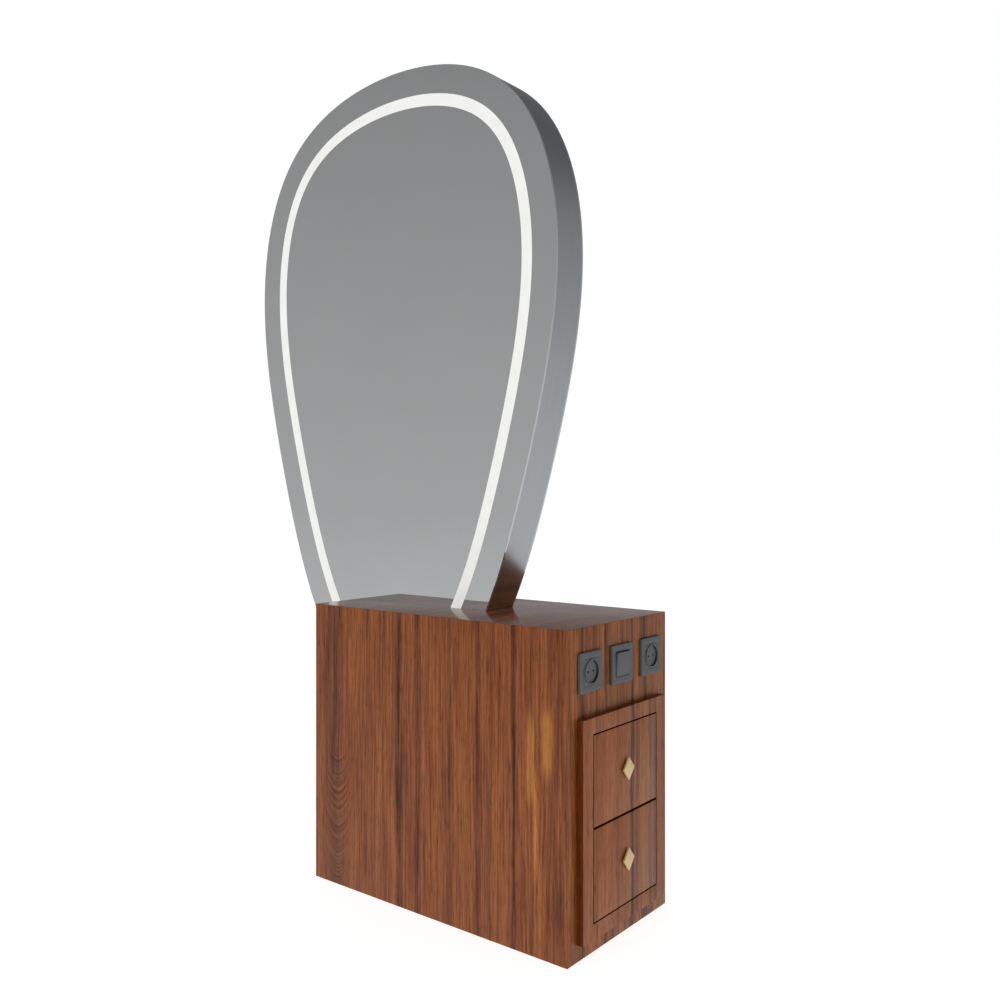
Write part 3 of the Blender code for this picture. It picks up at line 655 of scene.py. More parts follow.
# Darker walnut for edges and for the walls of openings: partly the veneer's own darker edges,
# partly painted shade for the occlusion on these walls and in the drawer gaps
EDGE_VENEER_AND_PAINTED_SHADE = replace(
    DRAWER_VENEER,
    name="walnut_veneer_edges_and_painted_shade",
    dark="#592608",
    middle="#6c310c",
    light="#803f16",
    sheen=0.18,
)
TOP_VENEER = LacqueredWalnut(
    name="walnut_veneer_top_lacquered",
    lay=Lay.TOP,
    plane=0.650,
    seed=5.2,
    span=(-0.37, 0.37),
    streaks=(
        Streak(-0.200, 0.014, 0.5), Streak(-0.060, 0.012, 0.5), Streak(0.100, 0.016, 0.7),
        Streak(0.205, 0.010, 0.5), Streak(0.290, 0.014, 0.6),
    ),
    rough=(0.19, 0.13),
    sheen=0.25,
)


def loft(rings: Sequence[Ring], closed: bool = False, paint: Sequence[int] = ()) -> Mesh:
    """Skin equal rings of points.

    Args:
        rings: The rings in order.
        closed: Whether the last ring joins the first. Otherwise both ends are capped.
        paint: Material number of each span.

    Returns:
        The skin.
    """
    bm = bmesh.new()
    loops = [[bm.verts.new(point) for point in ring] for ring in rings]
    count = len(loops[0])
    spans = len(loops) if closed else len(loops) - 1
    for i in range(spans):
        near, far = loops[i], loops[(i + 1) % len(loops)]
        for k in range(count):
            n = (k + 1) % count
            face = bm.faces.new((near[k], near[n], far[n], far[k]))
            face.material_index = paint[i] if i < len(paint) else 0
    if not closed:
        for loop in (loops[0], loops[-1]):
            bm.faces.new(loop)
    return bm


def rounded_square(
    x: float, y: float, z: float, size: float, radius: float, steps: int = 8
) -> Ring:
    """Points of a square with round corners that faces along X.

    Args:
        x: Place of the ring along X.
        y: Centre along Y.
        z: Centre along Z.
        size: Side of the square.
        radius: Corner radius.
        steps: Points in each corner.

    Returns:
        The ring.
    """
    ring = []
    inner = size / 2 - radius
    for corner, (a, b) in enumerate(((1, 1), (-1, 1), (-1, -1), (1, -1))):
        for k in range(steps):
            angle = math.pi / 2 * (corner + k / (steps - 1))
            side = y + a * inner + radius * math.cos(angle)
            ring.append((x, side, z + b * inner + radius * math.sin(angle)))
    return ring


def circle(x: float, y: float, z: float, radius: float, steps: int = 72) -> Ring:
    """Points of a circle that faces along X.

    Args:
        x: Place along X.
        y: Centre along Y.
        z: Centre along Z.
        radius: Radius.
        steps: Number of points.

    Returns:
        The ring.
    """
    turns = (2 * math.pi * k / steps for k in range(steps))
    return [(x, y + radius * math.cos(turn), z + radius * math.sin(turn)) for turn in turns]


def rolled(soft: float, turns: Sequence[float] = QUARTER) -> list[Pair]:
    """Steps of a rounded edge.

    Args:
        soft: The edge's radius.
        turns: Angle of each step, from 0 on the side to a quarter turn on the face.

    Returns:
        How far each step lies in from the side, and how far back from the face.
    """
    return [(soft * (1 - math.cos(turn)), soft * (1 - math.sin(turn))) for turn in turns]


def block(low: Sequence[float], high: Sequence[float], radius: float = 0.0) -> Mesh:
    """A closed box between two corners.

    Args:
        low: Lowest corner.
        high: Highest corner.
        radius: Radius of its edges, or 0 to leave them sharp.

    Returns:
        The box.
    """
    ring = [(low[0], low[1]), (high[0], low[1]), (high[0], high[1]), (low[0], high[1])]
    bm = loft([[(x, y, z) for x, y in ring] for z in (low[2], high[2])])
    if radius:
        bmesh.ops.recalc_face_normals(bm, faces=bm.faces)
        edges = list(bm.edges)
        bmesh.ops.bevel(bm, geom=edges, offset=radius, segments=3, profile=0.5, affect="EDGES")
    return bm


def to_mesh(name: str, bm: Mesh) -> bpy.types.Object:
    """Turn a bmesh into an object in the scene.

    Args:
        name: The object's name.
        bm: The mesh, which is freed.

    Returns:
        The object.
    """
    bmesh.ops.recalc_face_normals(bm, faces=bm.faces)
    mesh = bpy.data.meshes.new(name)
    bm.to_mesh(mesh)
    bm.free()
    piece = bpy.data.objects.new(name, mesh)
    bpy.context.scene.collection.objects.link(piece)
    return piece


def cut(piece: bpy.types.Object, tool: Mesh, operation: str = "DIFFERENCE") -> None:
    """Cut a closed tool out of a piece, or weld it on.

    Args:
        piece: The piece, whose mesh is renewed.
        tool: The tool, which is used up.
        operation: The Boolean's operation.
    """
    cutter = to_mesh("tool", tool)
    modifier = piece.modifiers.new("cut", "BOOLEAN")
    modifier.object = cutter
    modifier.operation = operation
    modifier.solver = "EXACT"
    graph = bpy.context.evaluated_depsgraph_get()
    mesh = bpy.data.meshes.new_from_object(piece.evaluated_get(graph), depsgraph=graph)
    piece.modifiers.remove(modifier)
    piece.data = mesh
    bpy.data.objects.remove(cutter, do_unlink=True)


def settle(
    piece: bpy.types.Object,
    body: str,
    materials: Sequence[Material],
    nodes: Sequence[str] = (),
    smooth: float = 30.0,
) -> None:
    """Finish a piece: shading, materials, the body that it rides on and the solids it stands for.

    Args:
        piece: The piece.
        body: The body that it moves with.
        materials: Its materials in order of their numbers.
        nodes: The solids that it stands for.
        smooth: Edges under this many degrees are smoothed.
    """
    mesh = piece.data
    for material in materials:
        mesh.materials.append(material)
    mesh.shade_smooth()
    mesh.set_sharp_from_angle(angle=math.radians(smooth))
    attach(piece, body)
    if nodes:
        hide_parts(*nodes)
    LOG.info("%s on %s", piece.name, body)


def dress(material: Material, *nodes: str) -> None:
    """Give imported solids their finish.

    Args:
        material: The finish.
        nodes: The solids' names.
    """
    for node in nodes:
        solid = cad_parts[node]
        if not solid.material_slots:
            solid.data.materials.append(material)
        for place in solid.material_slots:
            place.material = material
        LOG.info("%s keeps its solid", node)


@dataclass
class Mirror:
    """The silvered glasses, their lit bands and the rim strip between them."""

    axis_x: float = -0.2509
    foot: float = 0.300
    height: float = 1.629
    half_thickness: float = 0.050
    glass: float = 0.005
    arris: float = 0.0007
    rim_sheet: float = 0.0015
    band_inset: float = 0.0655
    band_width: float = 0.028
    band_depth: float = 0.0025
    band_gap: float = 0.0001
    clearance: float = 0.0005
    steps: int = 220
    # Edges under these many degrees are smoothed, on the strips and on the glasses
    smooth: float = 35.0
    sharp: float = 15.0
    # The half width is a sine times these shares of cosines, fitted to the photograph
    shape: tuple[float, ...] = (0.4695, -0.2602, 0.0168, -0.0404, -0.0075, -0.0111)

    def outline(self, t: float) -> Vector:
        """The egg's right half.

        Args:
            t: Place on it, from 0 at the foot to pi at the top.

        Returns:
            Its half width and height.
        """
        half = math.sin(t) * sum(share * math.cos(k * t) for k, share in enumerate(self.shape))
        return Vector((half, self.foot + self.height * (1 - math.cos(t)) / 2))

    def moved(self, t: float, inset: float) -> Vector:
        """A point of the right half, moved inwards along the normal.

        Args:
            t: Its place, from 0 at the foot to pi at the top.
            inset: How far it is moved.

        Returns:
            Its half width and height.
        """
        nudge = 1e-4
        along = self.outline(t + nudge) - self.outline(t - nudge)
        return self.outline(t) + Vector((-along.y, along.x)).normalized() * inset

    def start(self, inset: float) -> float:
        """Where a moved outline's right half leaves the axis, past the loop it makes at the foot.

        Args:
            inset: How far the line is moved inwards.

        Returns:
            The parameter.
        """
        low, high = 0.01, math.pi / 2
        if self.moved(low, inset).x > 0:
            return 0.0
        while high - low > 1e-7:
            middle = (low + high) / 2
            if self.moved(middle, inset).x > 0:
                high = middle
            else:
                low = middle
        return high

    def ring(self, y: float, inset: float = 0.0) -> Ring:
        """The egg at one depth.

        Args:
            y: The depth.
            inset: How far the line is moved inwards.

        Returns:
            The ring.
        """
        start = self.start(inset)
        span = math.pi - start
        half = [self.moved(start + span * k / self.steps, inset) for k in range(self.steps + 1)]
        right = [(self.axis_x + point.x, y, point.y) for point in half]
        left = [(self.axis_x - point.x, y, point.y) for point in half[-2:0:-1]]
        return right + left

    def slot_tool(self) -> Mesh:
        """Shape the hole that the boards need, with its clearance.

        Returns:
            The closed tool.
        """
        depth = self.half_thickness + self.clearance
        return loft([self.ring(y, -self.clearance) for y in (-depth, depth)])

    def build(self) -> None:
        """Make the glasses, bands and rim, and dress the hidden core and lamps."""
        silver = SILVERED_GLASS.material()
        edge = GLASS_EDGE.material()
        opal = OPAL_ACRYLIC.material()
        for name, side in (("front", -1), ("back", 1)):
            self.build_glass(name, side, silver, edge)
            self.build_band(name, side, opal)
        depth = self.half_thickness - self.glass
        outer = [self.ring(-depth), self.ring(depth)]
        inner = [self.ring(depth, self.rim_sheet), self.ring(-depth, self.rim_sheet)]
        rim = to_mesh("rim_strip", loft(outer + inner, closed=True))
        steel = [STAINLESS_STRIP.material()]
        settle(rim, "station", steel, ["mirror_rim"], self.smooth)
        dress(SAWN_CORE.material(), "mirror_core", "mirror_post")
        dress(LAMP_TAPE.material(), "front_led_tape", "back_led_tape")

    def build_glass(self, name: str, side: int, silver: Material, edge: Material) -> None:
        """Make one glass with a polished arris and the groove for its band.

        Args:
            name: Which face.
            side: -1 for the front, 1 for the back.
            silver: The silvered finish.
            edge: The polished edge's finish.
        """
        face = self.half_thickness
        soft = self.arris * (1 - math.sqrt(0.5))
        floor = face - self.band_depth
        inner = self.band_inset + self.band_width
        profile = [
            (0.0, face - self.glass),
            (0.0, face - self.arris),
            (soft, face - soft),
            (self.arris, face),
            (self.band_inset, face),
            (self.band_inset, floor),
            (inner, floor),
            (inner, face),
        ]
        rings = [self.ring(side * y, inset) for inset, y in profile]
        sheet = to_mesh(name + "_glass_sheet", loft(rings, paint=(1, 1, 1, 0, 0, 0, 0)))
        nodes = [name + "_mirror_glass"]
        settle(sheet, "station", [silver, edge], nodes, self.sharp)

    def build_band(self, name: str, side: int, opal: Material) -> None:
        """Make the opal band that lies flush in the glass.

        Args:
            name: Which face.
            side: -1 for the front, 1 for the back.
            opal: The acrylic.
        """
        face = self.half_thickness
        floor = face - self.band_depth + self.band_gap
        outer = self.band_inset + self.band_gap
        inner = self.band_inset + self.band_width - self.band_gap
        profile = [(outer, floor), (outer, face), (inner, face), (inner, floor)]
        rings = [self.ring(side * y, inset) for inset, y in profile]
        band = to_mesh(name + "_opal_band", loft(rings, closed=True))
        settle(band, "station", [opal], [name + "_light_band"], self.smooth)


@dataclass
class Cabinet:
    """The mitred veneered shell, the raised drawer surround and the boards inside."""

    mirror: Mirror
    veneer: Material
    edge: Material
    length: float = 0.727
    depth: float = 0.384
    height: float = 0.650
    board: float = 0.018
    arris: float = 0.0008
    surround_width: float = 0.320
    surround_height: float = 0.438
    surround_sill: float = 0.035
    surround_board: float = 0.016
    opening_half: float = 0.125
    opening_low: float = 0.067
    opening_high: float = 0.441
    plate_pitch: float = 0.118
    plate_height: float = 0.562
    box_hole: float = 0.0338
    grommet_y: float = 0.120
    grommet_z: float = 0.060
    grommet_hole: float = 0.0203

    def mitred(self, name: str, axis: int, side: int) -> bpy.types.Object:
        """Make one wall of the shell, rounded to the arris and mitred to its neighbours.

        Args:
            name: The piece's name.
            axis: The axis that the wall is square to.
            side: Which end of that axis.

        Returns:
            The wall.
        """
        halves = (self.length / 2, self.depth / 2, self.height / 2)
        others = [i for i in range(3) if i != axis]
        soft = self.arris
        rings = []
        for depth, inset in rolled(soft, (0.0, 0.4, math.pi / 4)) + [(self.board, self.board)]:
            ring = []
            for a, b in ((-1, -1), (1, -1), (1, 1), (-1, 1)):
                point = [0.0, 0.0, 0.0]
                point[axis] = side * (halves[axis] - depth)
                point[others[0]] = a * (halves[others[0]] - inset)
                point[others[1]] = b * (halves[others[1]] - inset)
                point[2] += self.height / 2
                ring.append(tuple(point))
            rings.append(ring)
        return to_mesh(name, loft(rings))

    def build(self) -> None:
        """Make the shell and the surround, and dress the inner boards."""
        front = FRONT_VENEER.material()
        end = END_VENEER.material()
        top = TOP_VENEER.material()
        half = self.length / 2
        inner = half - self.board
        walls = {
            "front_board": (1, -1, front),
            "back_board": (1, 1, front),
            "plain_end_board": (0, -1, end),
            "drawer_end_board": (0, 1, end),
            "top_board": (2, 1, top),
            "bottom_board": (2, -1, top),
        }
        for node, (axis, side, leaf) in walls.items():
            wall = self.mitred(node.replace("_board", "_wall"), axis, side)
            if node in ("top_board", "plain_end_board"):
                cut(wall, self.mirror.slot_tool())
            if node == "plain_end_board":
                hole = [
                    circle(x, self.grommet_y, self.grommet_z, self.grommet_hole)
                    for x in (-half - self.board, -inner + self.board)
                ]
                cut(wall, loft(hole))
            if node == "drawer_end_board":
                low = (inner - self.board, -self.opening_half, self.opening_low)
                high = (half + self.board, self.opening_half, self.opening_high)
                cut(wall, block(low, high))
                for place in (-1, 0, 1):
                    hole = [
                        circle(x, place * self.plate_pitch, self.plate_height, self.box_hole)
                        for x in (inner - self.board, half + self.board)
                    ]
                    cut(wall, loft(hole))
            settle(wall, "station", [leaf], [node])
        self.build_surround()
        for node, axes in {
            "drawer_ceiling": ("Z", "Y"),
            "drawer_divider": ("X", "Z"),
            "front_drawer_cheek": ("Y", "X"),
            "back_drawer_cheek": ("Y", "X"),
        }.items():
            dress(BirchPly(*axes).material(), node)

    def build_surround(self) -> None:
        """Make the raised frame round the drawers, its arrises just broken."""
        back = self.length / 2 + HAIR
        face = self.length / 2 + self.surround_board
        top = self.surround_sill + self.surround_height
        outer = (self.surround_width / 2, self.surround_sill, top)
        inner = (self.opening_half, self.opening_low, self.opening_high)

        def ring(half: float, low: float, high: float, grow: float, x: float) -> Ring:
            """One rectangle at one depth.

            Args:
                half: Half its width.
                low: Its lower side.
                high: Its upper side.
                grow: How far its sides are moved out.
                x: The depth.

            Returns:
                The ring.
            """
            wide, deep, tall = half + grow, low - grow, high + grow
            return [(x, -wide, deep), (x, wide, deep), (x, wide, tall), (x, -wide, tall)]

        bend = rolled(self.arris, (0.0, 0.4, 0.8, 1.2, math.pi / 2))
        rings = [ring(*outer, 0.0, back)]
        rings += [ring(*outer, -inset, face - drop) for inset, drop in bend]
        rings += [ring(*inner, grow, face - drop) for drop, grow in bend]
        rings.append(ring(*inner, 0.0, back))
        # The darker edge veneer, partly painted shade, is on the outer walls and on the walls of
        # the opening
        paint = [1] + [0] * (len(rings) - 3) + [1, 0]
        surround = to_mesh("raised_surround", loft(rings, closed=True, paint=paint))
        leaves = [self.veneer, self.edge]
        settle(surround, "station", leaves, ["drawer_surround"])


@dataclass
class Drawer:
    """One drawer: veneered front, plywood box, slides and diamond knob."""

    name: str
    veneer: Material
    edge: Material
    arris: float = 0.0006
    knob_width: float = 0.041
    knob_height: float = 0.048
    knob_thickness: float = 0.005
    knob_standoff: float = 0.003
    knob_edge: float = 0.0035
    knob_chamfer: float = 0.0012
    knob_arris: float = 0.0004
    stem_radius: float = 0.0055
    # The stem flares a little where it meets the front
    stem_foot: float = 0.006325
    stem_flare: float = 0.0008

    def build(self) -> None:
        """Make the front and the knob, and dress the box and the slides."""
        body = self.name + "_drawer"
        node = self.name + "_drawer_front"
        low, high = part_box(node)
        panel = to_mesh(self.name + "_front_panel", block(low, high, self.arris))
        settle(panel, body, [self.veneer, self.edge], [node])
        # The front's edges take the darker edge veneer, partly painted shade for the gaps round the
        # drawer
        for face in panel.data.polygons:
            face.material_index = int(abs(face.normal.x) < 0.5)
        box = self.name + "_drawer_"
        dress(BirchPly("Y", "X").material(), box + "front_side", box + "back_side")
        dress(BirchPly("X", "Y").material(), box + "rear")
        dress(BirchPly("Z", "X").material(), box + "base")
        slides = [
            f"{self.name}_{side}_slide_{part}"
            for side in ("front", "back")
            for part in ("fixed", "middle", "moving")
        ]
        dress(ZINC_STEEL.material(), *slides, self.name + "_knob_screw")
        self.build_knob(body, high[0], (low[2] + high[2]) / 2)

    def build_knob(self, body: str, face: float, height: float) -> None:
        """Make the bevelled diamond plate on its round stem.

        Args:
            body: The drawer's body.
            face: The front's outer face.
            height: The knob's middle.
        """
        back = face + self.knob_standoff
        front = back + self.knob_thickness
        half_width, half_height = self.knob_width / 2, self.knob_height / 2
        slant = math.hypot(half_width, half_height)
        shrink = 1 - self.knob_edge * slant / (half_width * half_height)
        rings = []
        for x, share in ((back, 1.0), (front - self.knob_chamfer, 1.0), (front, shrink)):
            a, b = half_width * share, half_height * share
            corners = ((0.0, b), (a, 0.0), (0.0, -b), (-a, 0.0))
            rings.append([(x, y, height + z) for y, z in corners])
        bm = loft(rings)
        bmesh.ops.recalc_face_normals(bm, faces=bm.faces)
        soft = self.knob_arris
        bmesh.ops.bevel(bm, geom=list(bm.edges), offset=soft, segments=3, affect="EDGES")
        knob = to_mesh(self.name + "_diamond_knob", bm)
        stem = [
            (face + HAIR, self.stem_foot),
            (face + self.stem_flare, self.stem_radius),
            (back + self.knob_thickness / 2, self.stem_radius),
        ]
        rings = [circle(x, 0.0, height, radius, 48) for x, radius in stem]
        cut(knob, loft(rings), "UNION")
        settle(knob, body, [PALE_BRASS.material()], [self.name + "_knob"])


@dataclass
class PlateRow:
    """The row of square plates: a socket, the lamp switch and another socket."""

    plastic: Material
    # Painted shade: the darker plastic for recessed faces and for what lies behind the rocker
    shaded: Material
    face: float = 0.3635
    pitch: float = 0.118
    height: float = 0.562
    size: float = 0.080
    proud: float = 0.007
    corner: float = 0.0022
    edge: float = 0.0010
    crisp: float = 0.0004
    gap_inset: float = 0.0025
    gap_depth: float = 0.0020
    window: float = 0.0526
    window_corner: float = 0.0012
    insert: float = 0.0520
    insert_corner: float = 0.001
    insert_back: float = 0.0003
    insert_proud: float = 0.0027
    insert_flush: float = 0.0003
    collar_radius: float = 0.025
    collar_back: float = 0.003
    tail_radius: float = 0.024
    tail_ends: Pair = (-0.024, 0.002)
    dish_radius: float = 0.0228
    dish_depth: float = 0.0046
    # The dish is narrower at its floor and rolls over into the collar, in steps of rise and growth
    dish_lean: float = 0.0010
    dish_roll: tuple[Pair, ...] = ((-0.0005, -0.0001), (-0.0001, 0.0002), (0.0003, 0.0009))
    earth_half: float = 0.0033
    earth_reach: float = 0.024
    earth_notch: float = 0.003
    earth_seat: float = 0.0222
    earth_sink: float = 0.0035
    earth_cover: float = 0.0017
    tool_reach: float = 0.002
    channel_half: float = 0.0235
    pin_offset: float = 0.0095
    pin_radius: float = 0.0025
    pin_depth: float = 0.012
    rocker: float = 0.0495
    rocker_edge: float = 0.0006
    rocker_plate: float = 0.0042
    rocker_tilt: float = 4.0
    pivot_proud: float = 0.0025
    pivot_radius: float = 0.0025
    pivot_half: float = 0.015
    web_half: float = 0.0015
    web_overlap: float = 0.002

    def build(self) -> None:
        """Make the frames, inserts and rocker, and dress what lies behind them."""
        names = ("left_socket", "switch", "right_socket")
        for place, name in enumerate(names, start=-1):
            self.build_frame(name, place * self.pitch)
            if place:
                self.build_insert(name, place * self.pitch)
        self.build_rocker()
        dress(GREY_ABS.material(), *(name + "_box" for name in names))
        dress(NICKEL_SPRING.material(), "left_socket_earth_strap", "right_socket_earth_strap")
        # Painted shade: the mechanism behind the rocker takes the darker plastic
        dress(self.shaded, "switch_mechanism")

    def build_frame(self, name: str, y: float) -> None:
        """Make one cover frame: soft outer edges, a crisp window and a shadow gap at the wall.

        Args:
            name: The plate's name.
            y: Its centre.
        """
        back = self.face + HAIR
        front = self.face + self.proud
        lip = back + self.gap_depth
        foot = self.size - 2 * self.gap_inset
        outer = [(back, foot), (lip, foot), (lip, self.size)]
        outer += [(front - drop, self.size - 2 * inset) for inset, drop in rolled(self.edge)]
        turns = (math.pi / 2, 0.8, 0.0)
        inner = [(front - drop, self.window + 2 * grow) for grow, drop in rolled(self.crisp, turns)]
        inner.append((back, self.window))
        rings = [rounded_square(x, y, self.height, size, self.corner) for x, size in outer]
        rings += [rounded_square(x, y, self.height, size, self.window_corner) for x, size in inner]
        plate = to_mesh(name + "_cover_frame", loft(rings, closed=True))
        settle(plate, "station", [self.plastic], [name + "_frame"])

    def build_insert(self, name: str, y: float) -> None:
        """Make a socket's insert: a flush square, and the dish in a raised round collar.

        Args:
            name: The socket's name.
            y: Its centre.
        """
        front = self.face + self.proud + self.insert_proud
        floor = front - self.dish_depth
        flush = self.face + self.proud + self.insert_flush
        z = self.height
        square = [(self.face + self.insert_back, self.insert)]
        square += [(flush - drop, self.insert - 2 * inset) for inset, drop in rolled(self.crisp)]
        rings = [rounded_square(x, y, z, size, self.insert_corner) for x, size in square]
        insert = to_mesh(name + "_dished_insert", loft(rings))
        collar = [(self.face + self.collar_back, self.collar_radius)]
        collar += [(front - drop, self.collar_radius - inset) for inset, drop in rolled(self.crisp)]
        tail = [(self.face + end, self.tail_radius) for end in self.tail_ends]
        for profile in (collar, tail):
            cut(insert, loft([circle(x, y, z, radius) for x, radius in profile]), "UNION")
        radius = self.dish_radius
        dish = [(floor, radius - self.dish_lean)]
        dish += [(front + rise, radius + grow) for rise, grow in self.dish_roll]
        cut(insert, loft([circle(x, y, z, wide) for x, wide in dish]))
        low_y, high_y = y - self.earth_half, y + self.earth_half
        deep = floor - self.earth_sink
        for side in (-1, 1):
            end = z + side * self.earth_reach
            span = sorted((z + side * (radius - self.earth_notch), end))
            cut(insert, block((floor, low_y, span[0]), (front + self.tool_reach, high_y, span[1])))
            strap = sorted((z + side * self.earth_seat, end))
            cut(insert, block((deep, low_y, strap[0]), (front, high_y, strap[1])))
            depths = (floor - self.pin_depth, front)
            offset = y + side * self.pin_offset
            cut(insert, loft([circle(x, offset, z, self.pin_radius, 32) for x in depths]))
        low = (deep, low_y, z - self.channel_half)
        cut(insert, block(low, (floor - self.earth_cover, high_y, z + self.channel_half)))
        plastics = [self.plastic, self.shaded]
        settle(insert, "station", plastics, [name + "_insert"])
        # Painted shade: the dish's wall and the holes, which face sideways below the collar's top,
        # take the darker plastic
        deepest, rim = floor - self.pin_depth - 0.001, radius + self.crisp
        for face in insert.data.polygons:
            out = math.hypot(face.center.y - y, face.center.z - z)
            recessed = deepest < face.center.x < front - self.crisp and out < rim
            face.material_index = int(recessed and face.normal.x < 0.5)

    def build_rocker(self) -> None:
        """Make the rocker, pressed in at its lower edge, with its pivot bar behind."""
        axis = Vector((self.face + self.pivot_proud, 0.0, self.height))
        front = self.face + self.proud + self.insert_proud
        back = front - self.rocker_plate
        bend = rolled(self.rocker_edge)
        plate = [(back, self.rocker)]
        plate += [(front - drop, self.rocker - 2 * inset) for inset, drop in bend]
        corner = self.window_corner
        rings = [rounded_square(x, 0.0, self.height, size, corner) for x, size in plate]
        rocker = to_mesh("rocker_plate", loft(rings))
        half = self.pivot_half
        low = (axis.x, -half, self.height - self.web_half)
        high = (back + self.web_overlap, half, self.height + self.web_half)
        cut(rocker, block(low, high), "UNION")
        bar = circle(0.0, axis.x, axis.z, self.pivot_radius, 32)
        cut(rocker, loft([[(x, y, z) for _, x, z in bar] for y in (-half, half)]), "UNION")
        tilt = Matrix.Rotation(math.radians(self.rocker_tilt), 4, "Y")
        rocker.data.transform(Matrix.Translation(axis) @ tilt @ Matrix.Translation(-axis))
        settle(rocker, "rocker", [self.plastic], ["switch_rocker"])


@dataclass
class Fittings:
    """The cable inlet in the plain end and the lamp driver inside."""

    face: float = -0.3635
    board: float = 0.018
    y: float = 0.120
    z: float = 0.060
    bore: float = 0.016
    sleeve: float = 0.020
    flange: float = 0.024
    lip: float = 0.0023
    soft: float = 0.0008

    def build(self) -> None:
        """Make the inlet's turned sleeve and dress the driver."""
        outer = self.face - HAIR
        inside = self.face + self.board
        tip = self.face - self.lip
        # Each corner of the flange is broken in two steps
        bend = [(self.soft, 0.0), (self.soft * 0.3, self.soft * 0.3), (0.0, self.soft)]
        profile = [(inside, self.sleeve), (outer, self.sleeve), (outer, self.flange)]
        profile += [(tip + back, self.flange - inset) for back, inset in bend]
        profile += [(tip + back, self.bore + inset) for back, inset in reversed(bend)]
        profile.append((inside, self.bore))
        rings = [circle(x, self.y, self.z, radius) for x, radius in profile]
        inlet = to_mesh("inlet_sleeve", loft(rings, closed=True))
        settle(inlet, "station", [GREY_ABS.material()], ["cable_grommet"])
        dress(WHITE_ABS.material(), "lamp_driver")


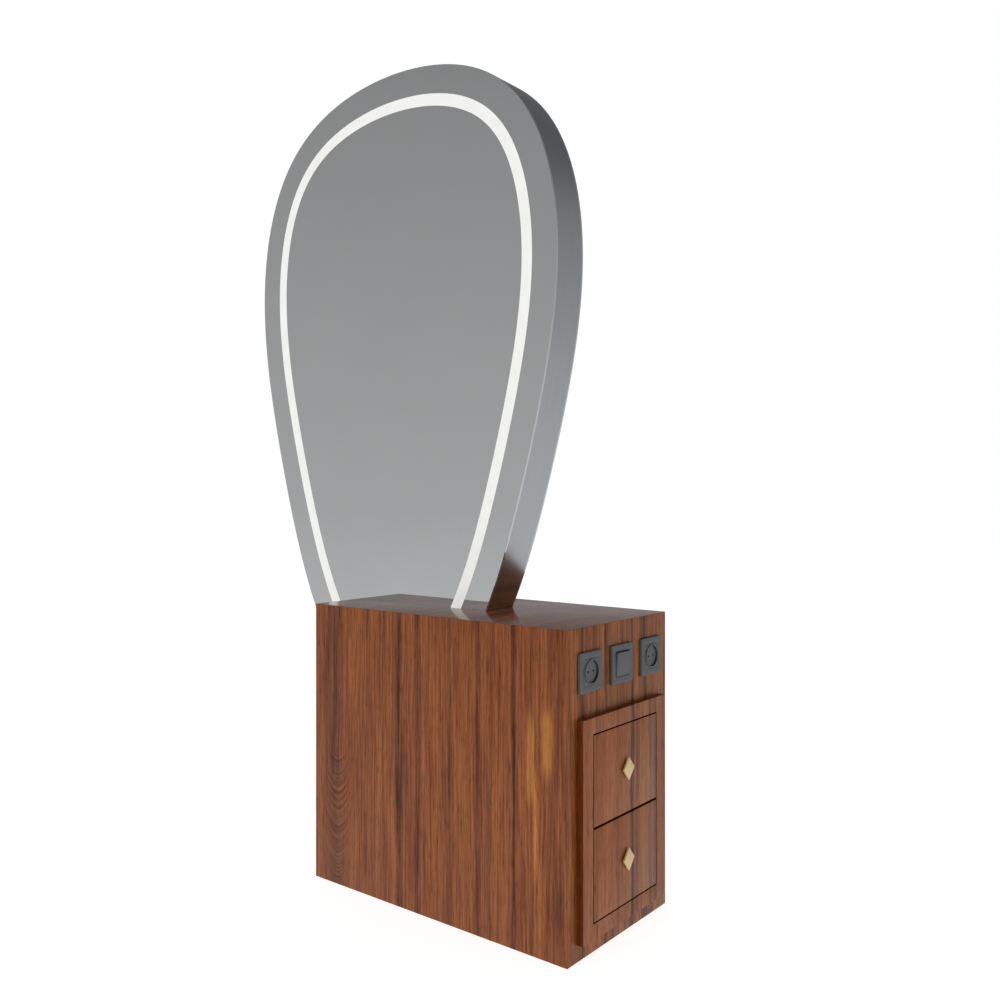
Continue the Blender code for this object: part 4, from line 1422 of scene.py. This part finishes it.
@dataclass
class Studio:
    """Pale floor, soft light and the camera at the photograph's angle."""

    eye: Point = (1.422, -1.727, 0.919)
    heading: float = 38.558
    lens: float = 34.89
    sensor: float = 36.0
    shift: float = -0.0092
    room_gain: float = 2.0
    floor_half: float = 12.0
    floor_glow: float = 0.80
    key_power: float = 5.0
    key_size: float = 2.2
    key_place: Point = (1.3, -2.5, 1.5)
    key_aim: Point = (0.0, 0.0, 0.5)
    # Grey level of the room from straight below, 0, over the horizon, 0.5, to straight above, 1
    room: tuple[Pair, ...] = (
        (0.0, 0.62), (0.25, 0.60), (0.36, 0.54), (0.44, 0.45), (0.49, 0.385),
        (0.586, 0.325), (0.684, 0.262), (0.78, 0.135), (1.0, 0.06),
    )

    def build(self) -> None:
        """Make the floor, the world, the lamp and the camera."""
        self.build_floor()
        self.build_world()
        self.build_lamp()
        data = bpy.data.cameras.new("camera")
        data.lens = self.lens
        data.sensor_width = self.sensor
        data.shift_y = self.shift
        camera = bpy.data.objects.new("camera", data)
        camera.location = self.eye
        camera.rotation_euler = (math.pi / 2, 0.0, math.radians(self.heading))
        bpy.context.scene.collection.objects.link(camera)
        bpy.context.scene.camera = camera

    def build_floor(self) -> None:
        """Make the plain pale floor, whose glow for the camera keeps it near white."""
        bm = bmesh.new()
        far = self.floor_half
        corners = ((-far, -far), (far, -far), (far, far), (-far, far))
        bm.faces.new([bm.verts.new((x, y, 0.0)) for x, y in corners])
        floor = to_mesh("studio_floor", bm)
        material, tree, shader = new_material("studio_floor_matt_paint")
        place = add_node(tree, "ShaderNodeTexCoord")
        fleck = noise_at(tree, place.outputs["Object"], (400.0, 400.0, 400.0), 2.0)
        paint = ramped(tree, fleck, ((0.3, linear("#f4f4f4")), (0.7, linear("#f8f8f8"))))
        tree.links.new(paint, shader.inputs["Base Color"])
        shader.inputs["Roughness"].default_value = 0.9
        shader.inputs["Specular IOR Level"].default_value = 0.0
        shader.inputs["Emission Color"].default_value = WHITE
        rays = add_node(tree, "ShaderNodeLightPath")
        glow = calc(tree, "MULTIPLY", rays.outputs["Is Camera Ray"], self.floor_glow)
        tree.links.new(glow, shader.inputs["Emission Strength"])
        floor.data.materials.append(material)
        floor.visible_glossy = False
        floor.visible_diffuse = False

    def build_world(self) -> None:
        """White for the camera; for the object a grey room, bright below and dark above."""
        world = bpy.data.worlds.new("studio_world")
        bpy.context.scene.world = world
        world.use_nodes = True
        tree = world.node_tree
        tree.nodes.clear()
        place = add_node(tree, "ShaderNodeTexCoord")
        axes = add_node(tree, "ShaderNodeSeparateXYZ", {0: place.outputs["Generated"]})
        rise = remap(tree, axes.outputs["Z"], (-1.0, 1.0, 0.0, 1.0))
        stops = [(at, (level, level, level * 1.01, 1.0)) for at, level in self.room]
        room = ramped(tree, rise, stops)
        rays = add_node(tree, "ShaderNodeLightPath")
        gain = fade(tree, rays.outputs["Is Glossy Ray"], self.room_gain, 1.0)
        lit = add_node(tree, "ShaderNodeVectorMath", {"operation": "SCALE", 0: room, 3: gain})
        seen = blend(tree, rays.outputs["Is Camera Ray"], lit.outputs[0], WHITE)
        light = add_node(tree, "ShaderNodeBackground", {"Color": seen})
        add_node(tree, "ShaderNodeOutputWorld", {"Surface": light.outputs[0]})

    def build_lamp(self) -> None:
        """Hang one large soft lamp over the viewer's left shoulder."""
        data = bpy.data.lights.new("key_softbox", "AREA")
        data.shape = "RECTANGLE"
        data.size = self.key_size
        data.size_y = self.key_size
        data.energy = self.key_power
        lamp = bpy.data.objects.new("key_softbox", data)
        lamp.location = self.key_place
        aim = Vector(self.key_aim) - lamp.location
        lamp.rotation_euler = aim.to_track_quat("-Z", "Y").to_euler()
        lamp.visible_glossy = False
        bpy.context.scene.collection.objects.link(lamp)


def main() -> None:
    """Build every sub-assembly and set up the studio."""
    logging.basicConfig(level=logging.INFO, format="%(message)s")
    bpy.context.scene.view_settings.view_transform = "Standard"
    mirror = Mirror()
    mirror.build()
    veneer = DRAWER_VENEER.material()
    edge = EDGE_VENEER_AND_PAINTED_SHADE.material()
    Cabinet(mirror, veneer, edge).build()
    for name in ("upper", "lower"):
        Drawer(name, veneer, edge).build()
    PlateRow(ANTHRACITE_ABS.material(), PAINTED_SHADE_ABS.material()).build()
    Fittings().build()
    Studio().build()
    LOG.info("sizes written")


if __name__ == "__main__":
    main()
